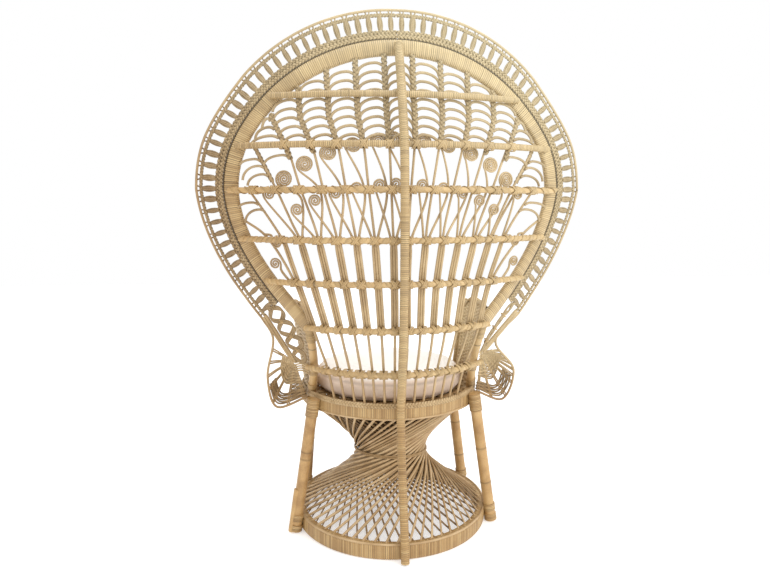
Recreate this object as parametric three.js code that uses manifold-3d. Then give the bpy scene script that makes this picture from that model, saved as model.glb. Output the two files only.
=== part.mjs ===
// Peacock chair: a woven rattan throne with a fan back on a twisted cane base, and a loose round cushion.
// Millimetres, +Z up. The origin is on the floor under the middle of the chair, and the sitter faces -Y.
// Sizes and depths below count from the centre of the base ring.

import * as THREE from 'three';
import { mergeVertices } from 'three/addons/utils/BufferGeometryUtils.js';
import Module from 'manifold-3d';

// Fit between pieces that touch
const clearance = 0.3;

// Base ring and seat ring, bands of poles wrapped in cane
const baseRingRadius = 295.5;
const baseRingHeight = 46;
const seatRingRadius = 278;
const seatRingHeight = 40;
const ringThickness = 26;
const seatHeight = 408;
const seatForward = 70;
const ringSides = 36;

// Woven seat panel and the loose cushion on it
const deckThickness = 8;
const deckDrop = 6;
const cushionGap = 5;
const cushionHeight = 62;
const cushionCrown = 12;
const cushionTuck = 7;
const cushionEdge = 20;
const cushionSides = 26;

// Twisted canes of the base, drawn in to a waist
const baseCaneCount = 42;
const baseCaneRadius = 2.7;
const waistRadius = 106;
const waistHeight = 208;
const waistForward = 10;
const twistBelow = 92;
const twistAbove = 84;
const waistRingThickness = 12;
const waistRingHeight = 16;

// Legs outside both rings; angles are from the side of the chair, positive towards the back
const legRadius = 16.5;
const rearFootAngle = 18.9;
const rearTopAngle = 35;
const frontFootAngle = -30.5;
const frontTopAngle = -36;
const legTopDrop = 3;
const legNotch = 2.5;
const legSides = 10;

// Back: depth of the rails at the middle, from the seat up to the top of the hoop
const railRadius = 9;
const railSteps = 13;
const railHeights = [1259, 1125, 1007, 874, 757, 629, 501];
const railDepths = [196, 247, 260, 261, 257, 245, 222];
const backFootDepth = 203;
const backTopDepth = 150;
const bowRadiusLow = 300;
const bowRadiusHigh = 840;
const bowHeightLow = 470;
const bowHeightHigh = 1010;

// Spine pole behind the rails
const spineRadius = 12;
const spineFootDepth = 316;
const spineMidDepth = 246;
const spineMidHeight = 250;

// Hoop: a flat wrapped band round the fan
const hoopWidth = 47;
const hoopThickness = 22;
const hoopTop = 1398;
const hoopHalfWidth = 469;
const hoopWidestHeight = 1010;
const hoopEndHalfWidth = 262;
const hoopEndHeight = 622;
const hoopEndLean = 42;
const hoopShoulder = 0.53;
const hoopSideReach = 150;
const railLap = 16;

// Openwork border between the hoop and the thin outer rim
const borderWidth = 86;
const borderLift = 0.14;
const borderThickness = 7;
const borderEndHeight = 704;
const borderCells = 34;
const hoopStepCells = 2;
const hoopEndSteps = 3;
const borderOpenLength = 0.62;
const borderOpenWidth = 0.5;
const rimRadius = 4;

// Back posts from the ends of the hoop down to the seat ring
const postRadius = 12.5;
const postFootAngle = 22;
const postLean = 24;
const postRailLap = 4;

// Spindles that fan out from the seat ring, and the canes that they split into
const spindlesPerSide = 7;
const caneRadius = 3;
const barWidth = 20;
const bundleEase = 0.4;
const pitchAtSeat = 27.5;
const pitchAtSplit = 46.5;
const pitchAtCrown = 69;
const pitchAtTop = 76;
const largeScrollTurns = 2.5;
const smallScrollTurns = 1.75;
const scrollGap = 1.3;
const scrollSteps = 7;
const scrollEye = 4;
const largeScrollRise = 30;
const largeScrollArch = 4.4;
const smallScrollRise = 16;
const smallScrollArch = 2.9;
const lastScrollDrop = 12;
const strandLap = 26;
const strandLeave = 24;

// Crown: wrapped columns with arched scales between them
const columnsPerSide = 5;
const columnWidth = 15;
const scaleFirstRise = 66;
const scaleSpacing = 54;
const scaleArch = 20;
const scaleMargin = 52;

// Side scrolls that stand on the fifth rail, close to the hoop
const sideScrollInset = 52;
const sideScrollShift = 44;
const sideScrollRise = -10;
const sideScrollDrop = 62;
const sideScrollTurns = 1.75;

// Arms: a woven panel under a bent rail, and an openwork wing outside the back post
const armHeight = 655;
const armFlare = 36;
const armRailRadius = 9;
const armRearAngle = 27;
const armFrontAngle = -24;
const armPanelThickness = 8;
const armPanelRearAngle = 18;
const wingThickness = 6;
const wingDepth = 55;
const wingColumns = 2;
const wingRows = 5;
const wingOpen = 0.58;
const wingWidest = 378;
const wingWidestHeight = 463;
const wingWidestDepth = 60;
const wingFootHalfWidth = 350;
const wingFootHeight = 362;
const wingFootDepth = 30;
const wingFootAngle = 24;
const wingFootRise = 14;

const wasm = await Module();
wasm.setup();

const up = new THREE.Vector3(0, 0, 1);
const backward = new THREE.Vector3(0, 1, 0);
const radians = THREE.MathUtils.degToRad;
const seatCentre = new THREE.Vector2(0, -seatForward);
const baseCentre = new THREE.Vector2(0, 0);

// Materials

const finish = (color, roughness) => new THREE.MeshStandardMaterial({ color, roughness, metalness: 0 });
const pole = finish(0xd6b07a, 0.5);
const wrapped = finish(0xcba46c, 0.55);
const cane = finish(0xc9a473, 0.55);
const woven = finish(0xc7a678, 0.65);
const fabric = finish(0xd9c1aa, 0.95);

// Helpers: solids, sections and sweeps

function toSolid(geometry) {
  const bare = geometry.clone();
  bare.deleteAttribute('normal');
  bare.deleteAttribute('uv');
  const merged = mergeVertices(bare, 1e-3);
  return new wasm.Manifold(new wasm.Mesh({
    numProp: 3,
    vertProperties: new Float32Array(merged.attributes.position.array),
    triVerts: new Uint32Array(merged.index.array),
  }));
}

function toGeometry(solid) {
  const mesh = solid.getMesh();
  const geometry = new THREE.BufferGeometry();
  geometry.setAttribute('position', new THREE.BufferAttribute(new Float32Array(mesh.vertProperties), 3));
  geometry.setIndex(new THREE.BufferAttribute(new Uint32Array(mesh.triVerts), 1));
  geometry.computeVertexNormals();
  return geometry;
}

function joined(geometries) {
  return geometries.map(toSolid).reduce((whole, piece) => whole.add(piece));
}

// What stays on a piece after trimming, without the offcuts
function largestBody(solid) {
  const bodies = solid.decompose();
  return bodies.reduce((best, body) => (body.volume() > best.volume() ? body : best));
}

// A round or oval section whose flat sides lie at the stated width and depth
function section(width, depth, sides) {
  const reach = 1 / Math.cos(Math.PI / sides);
  const points = [];
  for (let i = 0; i < sides; i += 1) {
    const angle = ((i + 0.5) / sides) * 2 * Math.PI;
    points.push(new THREE.Vector2(
      (depth / 2) * reach * Math.cos(angle),
      (width / 2) * reach * Math.sin(angle),
    ));
  }
  return new THREE.Shape(points);
}

// A path with a step at each of its own points, whose section faces the way it is told
class Route extends THREE.Curve {
  constructor(points, facing) {
    super();
    this.points = points;
    this.facing = facing;
  }

  getSpacedPoints() {
    return this.points;
  }

  computeFrenetFrames() {
    const last = this.points.length - 1;
    const tangents = this.points.map((point, i) => {
      const before = this.points[Math.max(i - 1, 0)];
      const after = this.points[Math.min(i + 1, last)];
      return after.clone().sub(before).normalize();
    });
    const normals = tangents.map((tangent, i) => {
      const normal = this.facing[i].clone();
      return normal.addScaledVector(tangent, -normal.dot(tangent)).normalize();
    });
    const binormals = tangents.map((tangent, i) => tangent.clone().cross(normals[i]));
    return { tangents, normals, binormals };
  }
}

function sweep(shape, points, facing) {
  const ways = Array.isArray(facing) ? facing : points.map(() => facing);
  return new THREE.ExtrudeGeometry(shape, {
    steps: points.length - 1,
    extrudePath: new Route(points, ways),
    bevelEnabled: false,
  });
}

function roundRod(points, radius, sides, facing) {
  return sweep(section(2 * radius, 2 * radius, sides), points, facing);
}

function smoothPoints(corners, steps) {
  return new THREE.CatmullRomCurve3(corners, false, 'centripetal').getPoints(steps);
}

function revolve(profile, centre, sides) {
  const geometry = new THREE.LatheGeometry(profile.map(([r, z]) => new THREE.Vector2(r, z)), sides);
  geometry.rotateX(Math.PI / 2);
  geometry.translate(centre.x, centre.y, 0);
  return geometry;
}

// A band with eased edges, grown by an allowance where it cuts its neighbours
function band(radius, bottom, height, centre, allowance = 0) {
  const outer = radius + allowance;
  const inner = radius - ringThickness - allowance;
  const low = bottom - allowance;
  const high = bottom + height + allowance;
  const ease = ringThickness / 6;
  return revolve([
    [outer - ease, low], [outer, low + ease], [outer, high - ease], [outer - ease, high],
    [inner, high], [inner, low], [outer - ease, low],
  ], centre, ringSides);
}

function onRing(centre, radius, degrees, side, height) {
  return new THREE.Vector3(
    side * (centre.x + radius * Math.cos(radians(degrees))),
    centre.y + radius * Math.sin(radians(degrees)),
    height,
  );
}

// A net of cells, each with a four-sided opening, on a surface that gives a point and its facing
function openwork(surface, columns, rows, openLength, openWidth, thickness) {
  const vertices = [];
  const faces = [];
  const addPoint = (u, v, offset) => {
    const { point, normal } = surface(u, v);
    vertices.push(point.clone().addScaledVector(normal, offset));
    return vertices.length - 1;
  };
  const addQuad = (a, b, c, d) => faces.push(a, b, c, a, c, d);
  const layer = (offset) => {
    const corners = [];
    for (let i = 0; i <= columns; i += 1) {
      corners.push([]);
      for (let j = 0; j <= rows; j += 1) {
        corners[i].push(addPoint(i / columns, j / rows, offset));
      }
    }
    const openings = [];
    for (let i = 0; i < columns; i += 1) {
      openings.push([]);
      for (let j = 0; j < rows; j += 1) {
        const ring = [[-1, -1], [1, -1], [1, 1], [-1, 1]].map(([a, b]) => addPoint(
          (i + 0.5 + a * openLength / 2) / columns,
          (j + 0.5 + b * openWidth / 2) / rows,
          offset,
        ));
        openings[i].push(ring);
      }
    }
    return { corners, openings };
  };
  const front = layer(thickness / 2);
  const back = layer(-thickness / 2);
  const cellRing = (side, i, j) => [
    side.corners[i][j], side.corners[i + 1][j], side.corners[i + 1][j + 1], side.corners[i][j + 1],
  ];
  for (let i = 0; i < columns; i += 1) {
    for (let j = 0; j < rows; j += 1) {
      const outerFront = cellRing(front, i, j);
      const outerBack = cellRing(back, i, j);
      const holeFront = front.openings[i][j];
      const holeBack = back.openings[i][j];
      const onEdge = [j === 0, i === columns - 1, j === rows - 1, i === 0];
      for (let k = 0; k < 4; k += 1) {
        const next = (k + 1) % 4;
        addQuad(outerFront[k], outerFront[next], holeFront[next], holeFront[k]);
        addQuad(outerBack[next], outerBack[k], holeBack[k], holeBack[next]);
        addQuad(holeFront[k], holeFront[next], holeBack[next], holeBack[k]);
        if (onEdge[k]) {
          addQuad(outerFront[next], outerFront[k], outerBack[k], outerBack[next]);
        }
      }
    }
  }
  const geometry = new THREE.BufferGeometry();
  const positions = vertices.flatMap((vertex) => vertex.toArray());
  geometry.setAttribute('position', new THREE.Float32BufferAttribute(positions, 3));
  geometry.setIndex(faces);
  return facingOut(geometry);
}

// Turns a closed mesh round if its faces point inwards
function facingOut(geometry) {
  const solid = toSolid(geometry);
  if (solid.volume() >= 0 && solid.status() === 'NoError') {
    return geometry;
  }
  const index = geometry.index.array;
  for (let i = 0; i < index.length; i += 3) {
    [index[i + 1], index[i + 2]] = [index[i + 2], index[i + 1]];
  }
  return geometry;
}

const chair = new THREE.Group();

function addPiece(name, geometry, material) {
  const mesh = new THREE.Mesh(geometry, material);
  mesh.name = name;
  chair.add(mesh);
}

const sides = [
  { name: 'left', sign: 1 },
  { name: 'right', sign: -1 },
];

// The dished surface that the rails lie in

const profileHeights = [seatHeight, ...[...railHeights].reverse(), hoopTop];
const profileDepths = [backFootDepth, ...[...railDepths].reverse(), backTopDepth];
const profile = new THREE.CubicInterpolant(profileHeights, profileDepths, 1, [0]);

function bowRadiusAt(z) {
  const share = THREE.MathUtils.clamp((z - bowHeightLow) / (bowHeightHigh - bowHeightLow), 0, 1);
  return THREE.MathUtils.lerp(bowRadiusLow, bowRadiusHigh, share);
}

function backDepth(x, z) {
  const height = THREE.MathUtils.clamp(z, seatHeight, hoopTop);
  const bowRadius = bowRadiusAt(z);
  const slope = (backTopDepth - railDepths[0]) / (hoopTop - railHeights[0]);
  const beyond = (z - height) * (z > hoopTop ? slope : 0);
  const middle = profile.evaluate(height)[0] + beyond;
  return middle - (bowRadius - Math.sqrt(bowRadius * bowRadius - x * x));
}

function backNormal(x, z) {
  const step = 1;
  const acrossSlope = (backDepth(x + step, z) - backDepth(x - step, z)) / (2 * step);
  const upSlope = (backDepth(x, z + step) - backDepth(x, z - step)) / (2 * step);
  return new THREE.Vector3(-acrossSlope, 1, -upSlope).normalize();
}

// A point of the back, moved towards the sitter by some distance
function onBack(x, z, forward) {
  return new THREE.Vector3(x, backDepth(x, z), z).addScaledVector(backNormal(x, z), -forward);
}

// The posts lean in a little from the outside of the seat ring to the lowest rail
const lowestRail = railHeights[railHeights.length - 1];
const postRailHalfWidth = seatRingRadius - postLean;

// A bow made of straight steps lies inside its true curve by this much
const stepSag = (width, radius) => radius * (1 - Math.cos(Math.asin(width / radius) / railSteps));
const railSag = Math.max(
  stepSag(hoopHalfWidth, bowRadiusHigh),
  stepSag(postRailHalfWidth, bowRadiusAt(lowestRail)),
);
const railFront = railRadius + railSag + clearance;
const hoopForward = railFront + hoopThickness / 2;
const caneForward = railFront + caneRadius;
const caneLayer = 2 * caneRadius + clearance + railSag;

// Outline of half the hoop, from its top to its end, seen from the front

const endLean = radians(hoopEndLean);
const hoopOutline = new THREE.Path();
hoopOutline.moveTo(0, hoopTop);
hoopOutline.bezierCurveTo(
  hoopShoulder * hoopHalfWidth, hoopTop,
  hoopHalfWidth, hoopWidestHeight + hoopShoulder * (hoopTop - hoopWidestHeight),
  hoopHalfWidth, hoopWidestHeight,
);
hoopOutline.bezierCurveTo(
  hoopHalfWidth, hoopWidestHeight - hoopSideReach,
  hoopEndHalfWidth + hoopSideReach * Math.sin(endLean), hoopEndHeight + hoopSideReach * Math.cos(endLean),
  hoopEndHalfWidth, hoopEndHeight,
);
const outlineSteps = 240;
const outlinePoints = hoopOutline.getSpacedPoints(outlineSteps);

// Share of the half outline's length at which it passes a height
function outlineShare(height) {
  const after = outlinePoints.findIndex((point) => point.y <= height);
  const index = after < 0 ? outlineSteps : Math.max(after, 1);
  const from = outlinePoints[index - 1];
  const to = outlinePoints[index];
  return (index - 1 + THREE.MathUtils.clamp((from.y - height) / (from.y - to.y), 0, 1)) / outlineSteps;
}

function hoopHalfWidthAt(height) {
  return hoopOutline.getPointAt(outlineShare(height)).x;
}

// Highest place at some distance across that still clears the inner edge of the hoop
function hoopInnerHeight(x) {
  const reach = hoopWidth / 2 + clearance;
  const near = outlinePoints.filter((point) => Math.abs(point.x - x) < reach && point.y > hoopWidestHeight);
  const tops = near.map((point) => point.y - Math.sqrt(reach * reach - (point.x - x) ** 2));
  return Math.min(...tops);
}

// Place on the hoop, with the way out from the fan and the way back from the sitter
function hoopPlace(share, sign) {
  const step = 0.002;
  const at = (s) => {
    const point = hoopOutline.getPointAt(THREE.MathUtils.clamp(s, 0, 1));
    return onBack(sign * point.x, point.y, hoopForward);
  };
  const flat = hoopOutline.getPointAt(share);
  const normal = backNormal(sign * flat.x, flat.y);
  const along = at(share + step).sub(at(Math.max(share - step, 0)));
  if (share < step) {
    along.set(sign, 0, 0);
  }
  // The border bows less than the fan, so it turns back a little towards the sides
  const outward = normal.clone().cross(along).normalize().multiplyScalar(-sign);
  outward.addScaledVector(normal, borderLift * (flat.x / hoopHalfWidth));
  return { point: at(share), normal, outward };
}

// Places from one end over the top to the other end, at shares of the half outline
function hoopRoute(shares, outwardOffset) {
  const half = (sign) => shares.map((share) => {
    const { point, normal, outward } = hoopPlace(share, sign);
    return { point: point.addScaledVector(outward, outwardOffset), normal };
  });
  return [...half(1).reverse(), ...half(-1).slice(1)];
}

const evenShares = (from, to, steps) => Array.from(
  { length: steps + 1 },
  (_, i) => THREE.MathUtils.lerp(from, to, i / steps),
);
const borderEnd = outlineShare(borderEndHeight);
const borderShares = evenShares(0, borderEnd, borderCells);

function hoopGeometry(allowance) {
  const shares = [
    ...borderShares.filter((_, i) => i % hoopStepCells === 0),
    ...evenShares(borderEnd, 1, hoopEndSteps).slice(1),
  ];
  const route = hoopRoute(shares, 0);
  const shape = section(hoopWidth + 2 * allowance, hoopThickness + 2 * allowance, 8);
  return sweep(shape, route.map((place) => place.point), route.map((place) => place.normal));
}

const hoopClear = toSolid(hoopGeometry(clearance));

// Rings, legs and the twisted base

const baseRing = band(baseRingRadius, 0, baseRingHeight, baseCentre);
const seatRing = band(seatRingRadius, seatHeight - seatRingHeight, seatRingHeight, seatCentre);
const baseRingClear = toSolid(band(baseRingRadius, 0, baseRingHeight, baseCentre, clearance));
const seatRingClear = toSolid(band(
  seatRingRadius, seatHeight - seatRingHeight, seatRingHeight, seatCentre, clearance,
));

addPiece('base_ring', baseRing, wrapped);
addPiece('seat_ring', seatRing, wrapped);

// A pole that leans, with level ends, notched where it is bound to the rings
function leg(footAngle, topAngle, sign) {
  const standOff = legRadius - legNotch;
  const low = onRing(baseCentre, baseRingRadius + standOff, footAngle, sign, baseRingHeight);
  const top = onRing(seatCentre, seatRingRadius + standOff, topAngle, sign, seatHeight);
  const leanX = (top.x - low.x) / (top.z - low.z);
  const leanY = (top.y - low.y) / (top.z - low.z);
  const height = seatHeight - legTopDrop;
  const geometry = new THREE.CylinderGeometry(legRadius, legRadius, height, legSides, 1);
  geometry.rotateX(Math.PI / 2);
  geometry.translate(0, 0, height / 2);
  geometry.applyMatrix4(new THREE.Matrix4().makeShear(0, 0, 0, 0, leanX, leanY));
  geometry.translate(low.x - leanX * low.z, low.y - leanY * low.z, 0);
  return toGeometry(toSolid(geometry).subtract(baseRingClear).subtract(seatRingClear));
}

for (const { name, sign } of sides) {
  addPiece(`leg_rear_${name}`, leg(rearFootAngle, rearTopAngle, sign), pole);
  addPiece(`leg_front_${name}`, leg(frontFootAngle, frontTopAngle, sign), pole);
}

// Each base cane runs from the base ring to the waist and on to the seat ring, always turning one way
const waistCentre = new THREE.Vector2(0, -waistForward);
const ringInset = ringThickness / 2;

// Height that the slanted end of a cane needs above what it stands on, from its centre to its edge
function endRise(from, to, reach) {
  const run = to.clone().sub(from).normalize();
  return clearance + reach * Math.hypot(run.x, run.y);
}

// The lower and the upper run of a base cane, which meet inside the waist binding
function baseCane(index) {
  const start = (index / baseCaneCount) * 360;
  const foot = onRing(baseCentre, baseRingRadius - ringInset, start, 1, baseRingHeight);
  const waist = onRing(waistCentre, waistRadius, start + twistBelow, 1, waistHeight);
  const head = onRing(
    seatCentre, seatRingRadius - ringInset, start + twistBelow + twistAbove, 1, seatHeight - seatRingHeight,
  );
  foot.z += endRise(foot, waist, baseCaneRadius);
  head.z -= endRise(waist, head, baseCaneRadius);
  return [[foot, waist], [waist, head]].map((ends) => roundRod(ends, baseCaneRadius, 4, up));
}

const waistOuter = waistRadius + waistRingThickness / 2;
const waistInner = waistRadius - waistRingThickness / 2;
const waistLow = waistHeight - waistRingHeight / 2;
const waistHigh = waistHeight + waistRingHeight / 2;
const waistRing = revolve([
  [waistOuter, waistLow], [waistOuter, waistHigh], [waistInner, waistHigh], [waistInner, waistLow],
  [waistOuter, waistLow],
], waistCentre, baseCaneCount / 2);

const baseCanes = Array.from({ length: baseCaneCount }, (_, i) => baseCane(i)).flat();
addPiece('base_canes', toGeometry(joined([waistRing, ...baseCanes])), cane);

// Seat panel and cushion

const deckTop = seatHeight - deckDrop;
const deckRadius = seatRingRadius - ringThickness - clearance;
addPiece('seat_deck', revolve([
  [0, deckTop - deckThickness], [deckRadius, deckTop - deckThickness], [deckRadius, deckTop], [0, deckTop],
], seatCentre, ringSides), woven);

// The cushion fills the ring, but for a narrow gap
const cushionRadius = seatRingRadius - ringThickness - cushionGap;

function cushionProfile() {
  const low = deckTop + clearance;
  const high = low + cushionHeight;
  const outline = [[0, low], [cushionRadius - cushionEdge, low]];
  for (let i = 1; i <= 3; i += 1) {
    const angle = (i / 3) * (Math.PI / 2);
    outline.push([
      cushionRadius - cushionEdge * (1 - Math.sin(angle)),
      low + cushionEdge * (1 - Math.cos(angle)),
    ]);
  }
  outline.push([cushionRadius - cushionTuck, low + cushionHeight / 2]);
  for (let i = 0; i <= 3; i += 1) {
    const angle = (i / 3) * (Math.PI / 2);
    outline.push([
      cushionRadius - cushionEdge * (1 - Math.cos(angle)),
      high - cushionEdge * (1 - Math.sin(angle)),
    ]);
  }
  for (let i = 1; i <= 3; i += 1) {
    const share = i / 4;
    const rise = cushionCrown * (1 - (1 - share) * (1 - share));
    outline.push([(cushionRadius - cushionEdge) * (1 - share), high + rise]);
  }
  outline.push([0, high + cushionCrown]);
  return outline;
}

addPiece('seat_cushion', revolve(cushionProfile(), seatCentre, cushionSides), fabric);

// Back hoop, rails, spine and posts

addPiece('back_hoop', hoopGeometry(0), wrapped);

const postForward = railFront + postRadius;

function postRoute(sign) {
  const foot = onRing(seatCentre, seatRingRadius - ringInset, postFootAngle, sign, seatHeight + clearance);
  const middle = onBack(sign * postRailHalfWidth, lowestRail, postForward);
  const head = hoopPlace(1, sign).point;
  return smoothPoints([foot, middle, head], 6);
}

const postClear = {};
for (const { name, sign } of sides) {
  const way = backNormal(sign * postRailHalfWidth, lowestRail);
  const shaft = toSolid(roundRod(postRoute(sign), postRadius, 8, way));
  postClear[name] = toSolid(roundRod(postRoute(sign), postRadius + clearance, 8, way));
  addPiece(`back_post_${name}`, toGeometry(shaft.subtract(hoopClear).subtract(seatRingClear)), pole);
}

railHeights.forEach((height, row) => {
  const lowest = height === lowestRail;
  const reach = lowest ? postRailHalfWidth : hoopHalfWidthAt(height) - hoopWidth / 2;
  const end = reach + (lowest ? postRailLap : railLap);
  const bowRadius = bowRadiusAt(height);
  const bowAngle = Math.asin(end / bowRadius);
  const across = evenShares(-bowAngle, bowAngle, railSteps).map((angle) => bowRadius * Math.sin(angle));
  const points = across.map((x) => onBack(x, height, 0));
  const ways = across.map((x) => backNormal(x, height));
  addPiece(`back_rail_${row + 1}`, roundRod(points, railRadius, 6, ways), wrapped);
});

// The spine lies behind the rails, then bends in to lie against the hoop at its top
const spineForward = -(railFront + spineRadius);
const spineAtHoop = railFront - clearance - spineRadius;

function spineRoute() {
  const offSeat = seatCentre.y + seatRingRadius + spineRadius + clearance;
  const offBase = baseRingRadius + spineRadius + clearance;
  const lower = [
    new THREE.Vector3(0, spineFootDepth, 0),
    new THREE.Vector3(0, offBase, baseRingHeight),
    new THREE.Vector3(0, spineMidDepth, spineMidHeight),
    new THREE.Vector3(0, offSeat, seatHeight - seatRingHeight),
    new THREE.Vector3(0, offSeat, seatHeight),
  ];
  const rising = [...railHeights].reverse();
  const between = rising.slice(1).flatMap((height, i) => [(height + rising[i]) / 2, height]);
  const upper = [rising[0], ...between].map((height) => onBack(0, height, spineForward));
  const bendStart = railHeights[0] + 2 * railRadius;
  const bend = [0, 0.5, 1].map((share) => onBack(
    0,
    THREE.MathUtils.lerp(bendStart, hoopTop, share),
    THREE.MathUtils.lerp(spineForward, spineAtHoop, share),
  ));
  return [...lower, ...upper, ...bend];
}

function spine() {
  const points = spineRoute();
  const lean = points[1].clone().sub(points[0]).normalize();
  points.unshift(points[0].clone().addScaledVector(lean, -spineRadius));
  const floor = new THREE.BoxGeometry(8 * spineRadius, 8 * spineRadius, 4 * spineRadius);
  floor.translate(0, spineFootDepth, -2 * spineRadius);
  const shaft = toSolid(roundRod(points, spineRadius, 8, new THREE.Vector3(1, 0, 0)));
  return toGeometry(shaft.subtract(toSolid(floor)));
}

addPiece('spine_post', spine(), wrapped);

// Openwork border and outer rim

const borderStart = hoopWidth / 2 + clearance;
for (const { name, sign } of sides) {
  const topGap = clearance / 2;
  const surface = (u, v) => {
    const { point, normal, outward } = hoopPlace(u * borderEnd, sign);
    const place = point.addScaledVector(outward, borderStart + v * borderWidth);
    place.x += sign * topGap * (1 - u);
    return { point: place, normal };
  };
  addPiece(
    `border_lace_${name}`,
    openwork(surface, borderCells, 1, borderOpenWidth, borderOpenLength, borderThickness),
    cane,
  );
}

// The rim goes round the border and down round the wings to the seat ring
const rimOffset = borderStart + borderWidth + clearance + rimRadius;
const wingRodSteps = 14;

function wingRod(sign) {
  const { point, outward } = hoopPlace(borderEnd, sign);
  const top = point.addScaledVector(outward, rimOffset);
  const footRing = seatRingRadius + clearance;
  const seatLevel = seatHeight - wingFootRise;
  const corners = [
    top,
    new THREE.Vector3(sign * wingWidest, wingWidestDepth, wingWidestHeight),
    new THREE.Vector3(sign * wingFootHalfWidth, wingFootDepth, wingFootHeight),
    onRing(seatCentre, footRing + 3 * rimRadius, wingFootAngle, sign, seatLevel),
    onRing(seatCentre, footRing, wingFootAngle, sign, seatLevel),
  ];
  return smoothPoints(corners, wingRodSteps);
}

const fanRim = hoopRoute(borderShares, rimOffset);
const rimPoints = [
  ...wingRod(1).slice(1).reverse(),
  ...fanRim.map((place) => place.point),
  ...wingRod(-1).slice(1),
];
const wingWays = Array.from({ length: wingRodSteps }, () => backward);
const rimWays = [...wingWays, ...fanRim.map((place) => place.normal), ...wingWays];
const rimSolid = toSolid(roundRod(rimPoints, rimRadius, 4, rimWays)).subtract(seatRingClear);
const rimClear = toSolid(roundRod(rimPoints, rimRadius + clearance, 4, rimWays));
addPiece('outer_rim', toGeometry(rimSolid), cane);

// Spindles, their crossing strands and their scrolls

const splitHeight = railHeights[3];
const crossHeight = railHeights[2];
const crownHeight = railHeights[1];
const bundleHeight = railHeights[5];

function spindlePitch(height) {
  const knots = [
    [seatHeight, pitchAtSeat],
    [splitHeight, pitchAtSplit],
    [crownHeight, pitchAtCrown],
    [hoopTop, pitchAtTop],
  ];
  const above = knots.findIndex(([knot]) => height <= knot);
  const upper = knots[above < 1 ? knots.length - 1 : above];
  const lower = knots[above < 1 ? knots.length - 2 : above - 1];
  return THREE.MathUtils.mapLinear(height, lower[0], upper[0], lower[1], upper[1]);
}

// Centre line of a scroll, from its outside to its eye, as places across and up
function scrollPlaces(centreX, centreZ, turns, startAngle, turnWay) {
  const pitch = 2 * caneRadius + scrollGap;
  const count = Math.round(turns * scrollSteps);
  return Array.from({ length: count + 1 }, (_, i) => {
    const radius = scrollEye + pitch * turns * (1 - i / count);
    const angle = startAngle + turnWay * (i / scrollSteps) * 2 * Math.PI;
    return [centreX + radius * Math.cos(angle), centreZ + radius * Math.sin(angle)];
  });
}

const scrollRadius = (turns) => scrollEye + turns * (2 * caneRadius + scrollGap);

// Least gap between one turn of a scroll and the next
function leastScrollGap(turns) {
  const places = scrollPlaces(0, 0, turns, 0, 1);
  let least = Infinity;
  places.forEach(([x, z], i) => {
    places.slice(i + scrollSteps / 2).forEach(([otherX, otherZ]) => {
      least = Math.min(least, Math.hypot(x - otherX, z - otherZ) - 2 * caneRadius);
    });
  });
  return least;
}

// A cane on the back through places [across, up, layer]; a higher layer is nearer the sitter
function backCane(places, width = 2 * caneRadius, depth = 2 * caneRadius) {
  const points = places.map(([x, z, layer]) => onBack(x, z, caneForward + layer * caneLayer));
  const ways = places.map(([x, z]) => backNormal(x, z));
  return sweep(section(width, depth, 4), points, ways);
}

// A bundle of canes is a little deeper than one cane, so that the canes end inside it
const bundleDepth = 2 * (caneRadius + bundleEase);
const bundleLayer = bundleEase / caneLayer;
const strandOffset = barWidth / 2 - caneRadius - bundleEase;
const barTop = splitHeight - railRadius;

const place = (position, height, layer, offset = 0) => [
  position * spindlePitch(height) + offset, height, layer,
];
const strandRoot = (position, offset) => [barTop - strandLeave, splitHeight].map(
  (height) => place(position, height, bundleLayer, offset),
);
const largeScrollHeight = (j) => crownHeight + largeScrollRise - largeScrollArch * j * j;
const smallScrollHeight = (j) => (j < spindlesPerSide - 1
  ? crossHeight + smallScrollRise - smallScrollArch * j * j
  : crossHeight - lastScrollDrop);

function spindleStem(position) {
  const footX = position * pitchAtSeat;
  const footRing = seatRingRadius - ringInset;
  const foot = new THREE.Vector3(
    footX,
    seatCentre.y + Math.sqrt(footRing * footRing - footX * footX),
    seatHeight,
  );
  const rise = [[lowestRail, 2 * clearance], [bundleHeight, bundleEase]].map(([height, ease]) => onBack(
    position * spindlePitch(height), height, caneForward + ease,
  ));
  foot.z += endRise(foot, rise[0], Math.SQRT2 * caneRadius);
  const ways = [backward, ...[lowestRail, bundleHeight].map(
    (height) => backNormal(position * spindlePitch(height), height),
  )];
  return sweep(section(2 * caneRadius, 2 * caneRadius, 4), [foot, ...rise], ways);
}

// A strand that leans in and winds up into the small scroll beside the third rail
function smallScrollStrand(position, way) {
  const j = Math.abs(position) - 0.5;
  const centreZ = smallScrollHeight(j);
  const centreX = way * j * spindlePitch(centreZ);
  const reach = scrollRadius(smallScrollTurns);
  const scroll = scrollPlaces(centreX, centreZ, smallScrollTurns, way > 0 ? 0 : Math.PI, way);
  return backCane([
    ...strandRoot(position, -way * strandOffset),
    [centreX + way * reach, centreZ - reach, 0],
    ...scroll.map(([x, z]) => [x, z, 0]),
  ]);
}

// A strand that rises to the third rail, then leans in and winds over into the large scroll
function largeScrollStrand(position, way) {
  const j = Math.abs(position) - 0.5;
  const centreZ = largeScrollHeight(j);
  const centreX = way * j * spindlePitch(centreZ);
  const reach = scrollRadius(largeScrollTurns);
  const scroll = scrollPlaces(centreX, centreZ, largeScrollTurns, way > 0 ? Math.PI : 0, -way);
  const turn = Math.min(crossHeight, centreZ - 2 * reach);
  return backCane([
    ...strandRoot(position, 0),
    place(position, splitHeight + 2 * strandLeave, 2), place(position, turn, 2),
    [centreX - way * reach, centreZ - reach, 2],
    ...scroll.map(([x, z]) => [x, z, 2]),
  ]);
}

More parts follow.
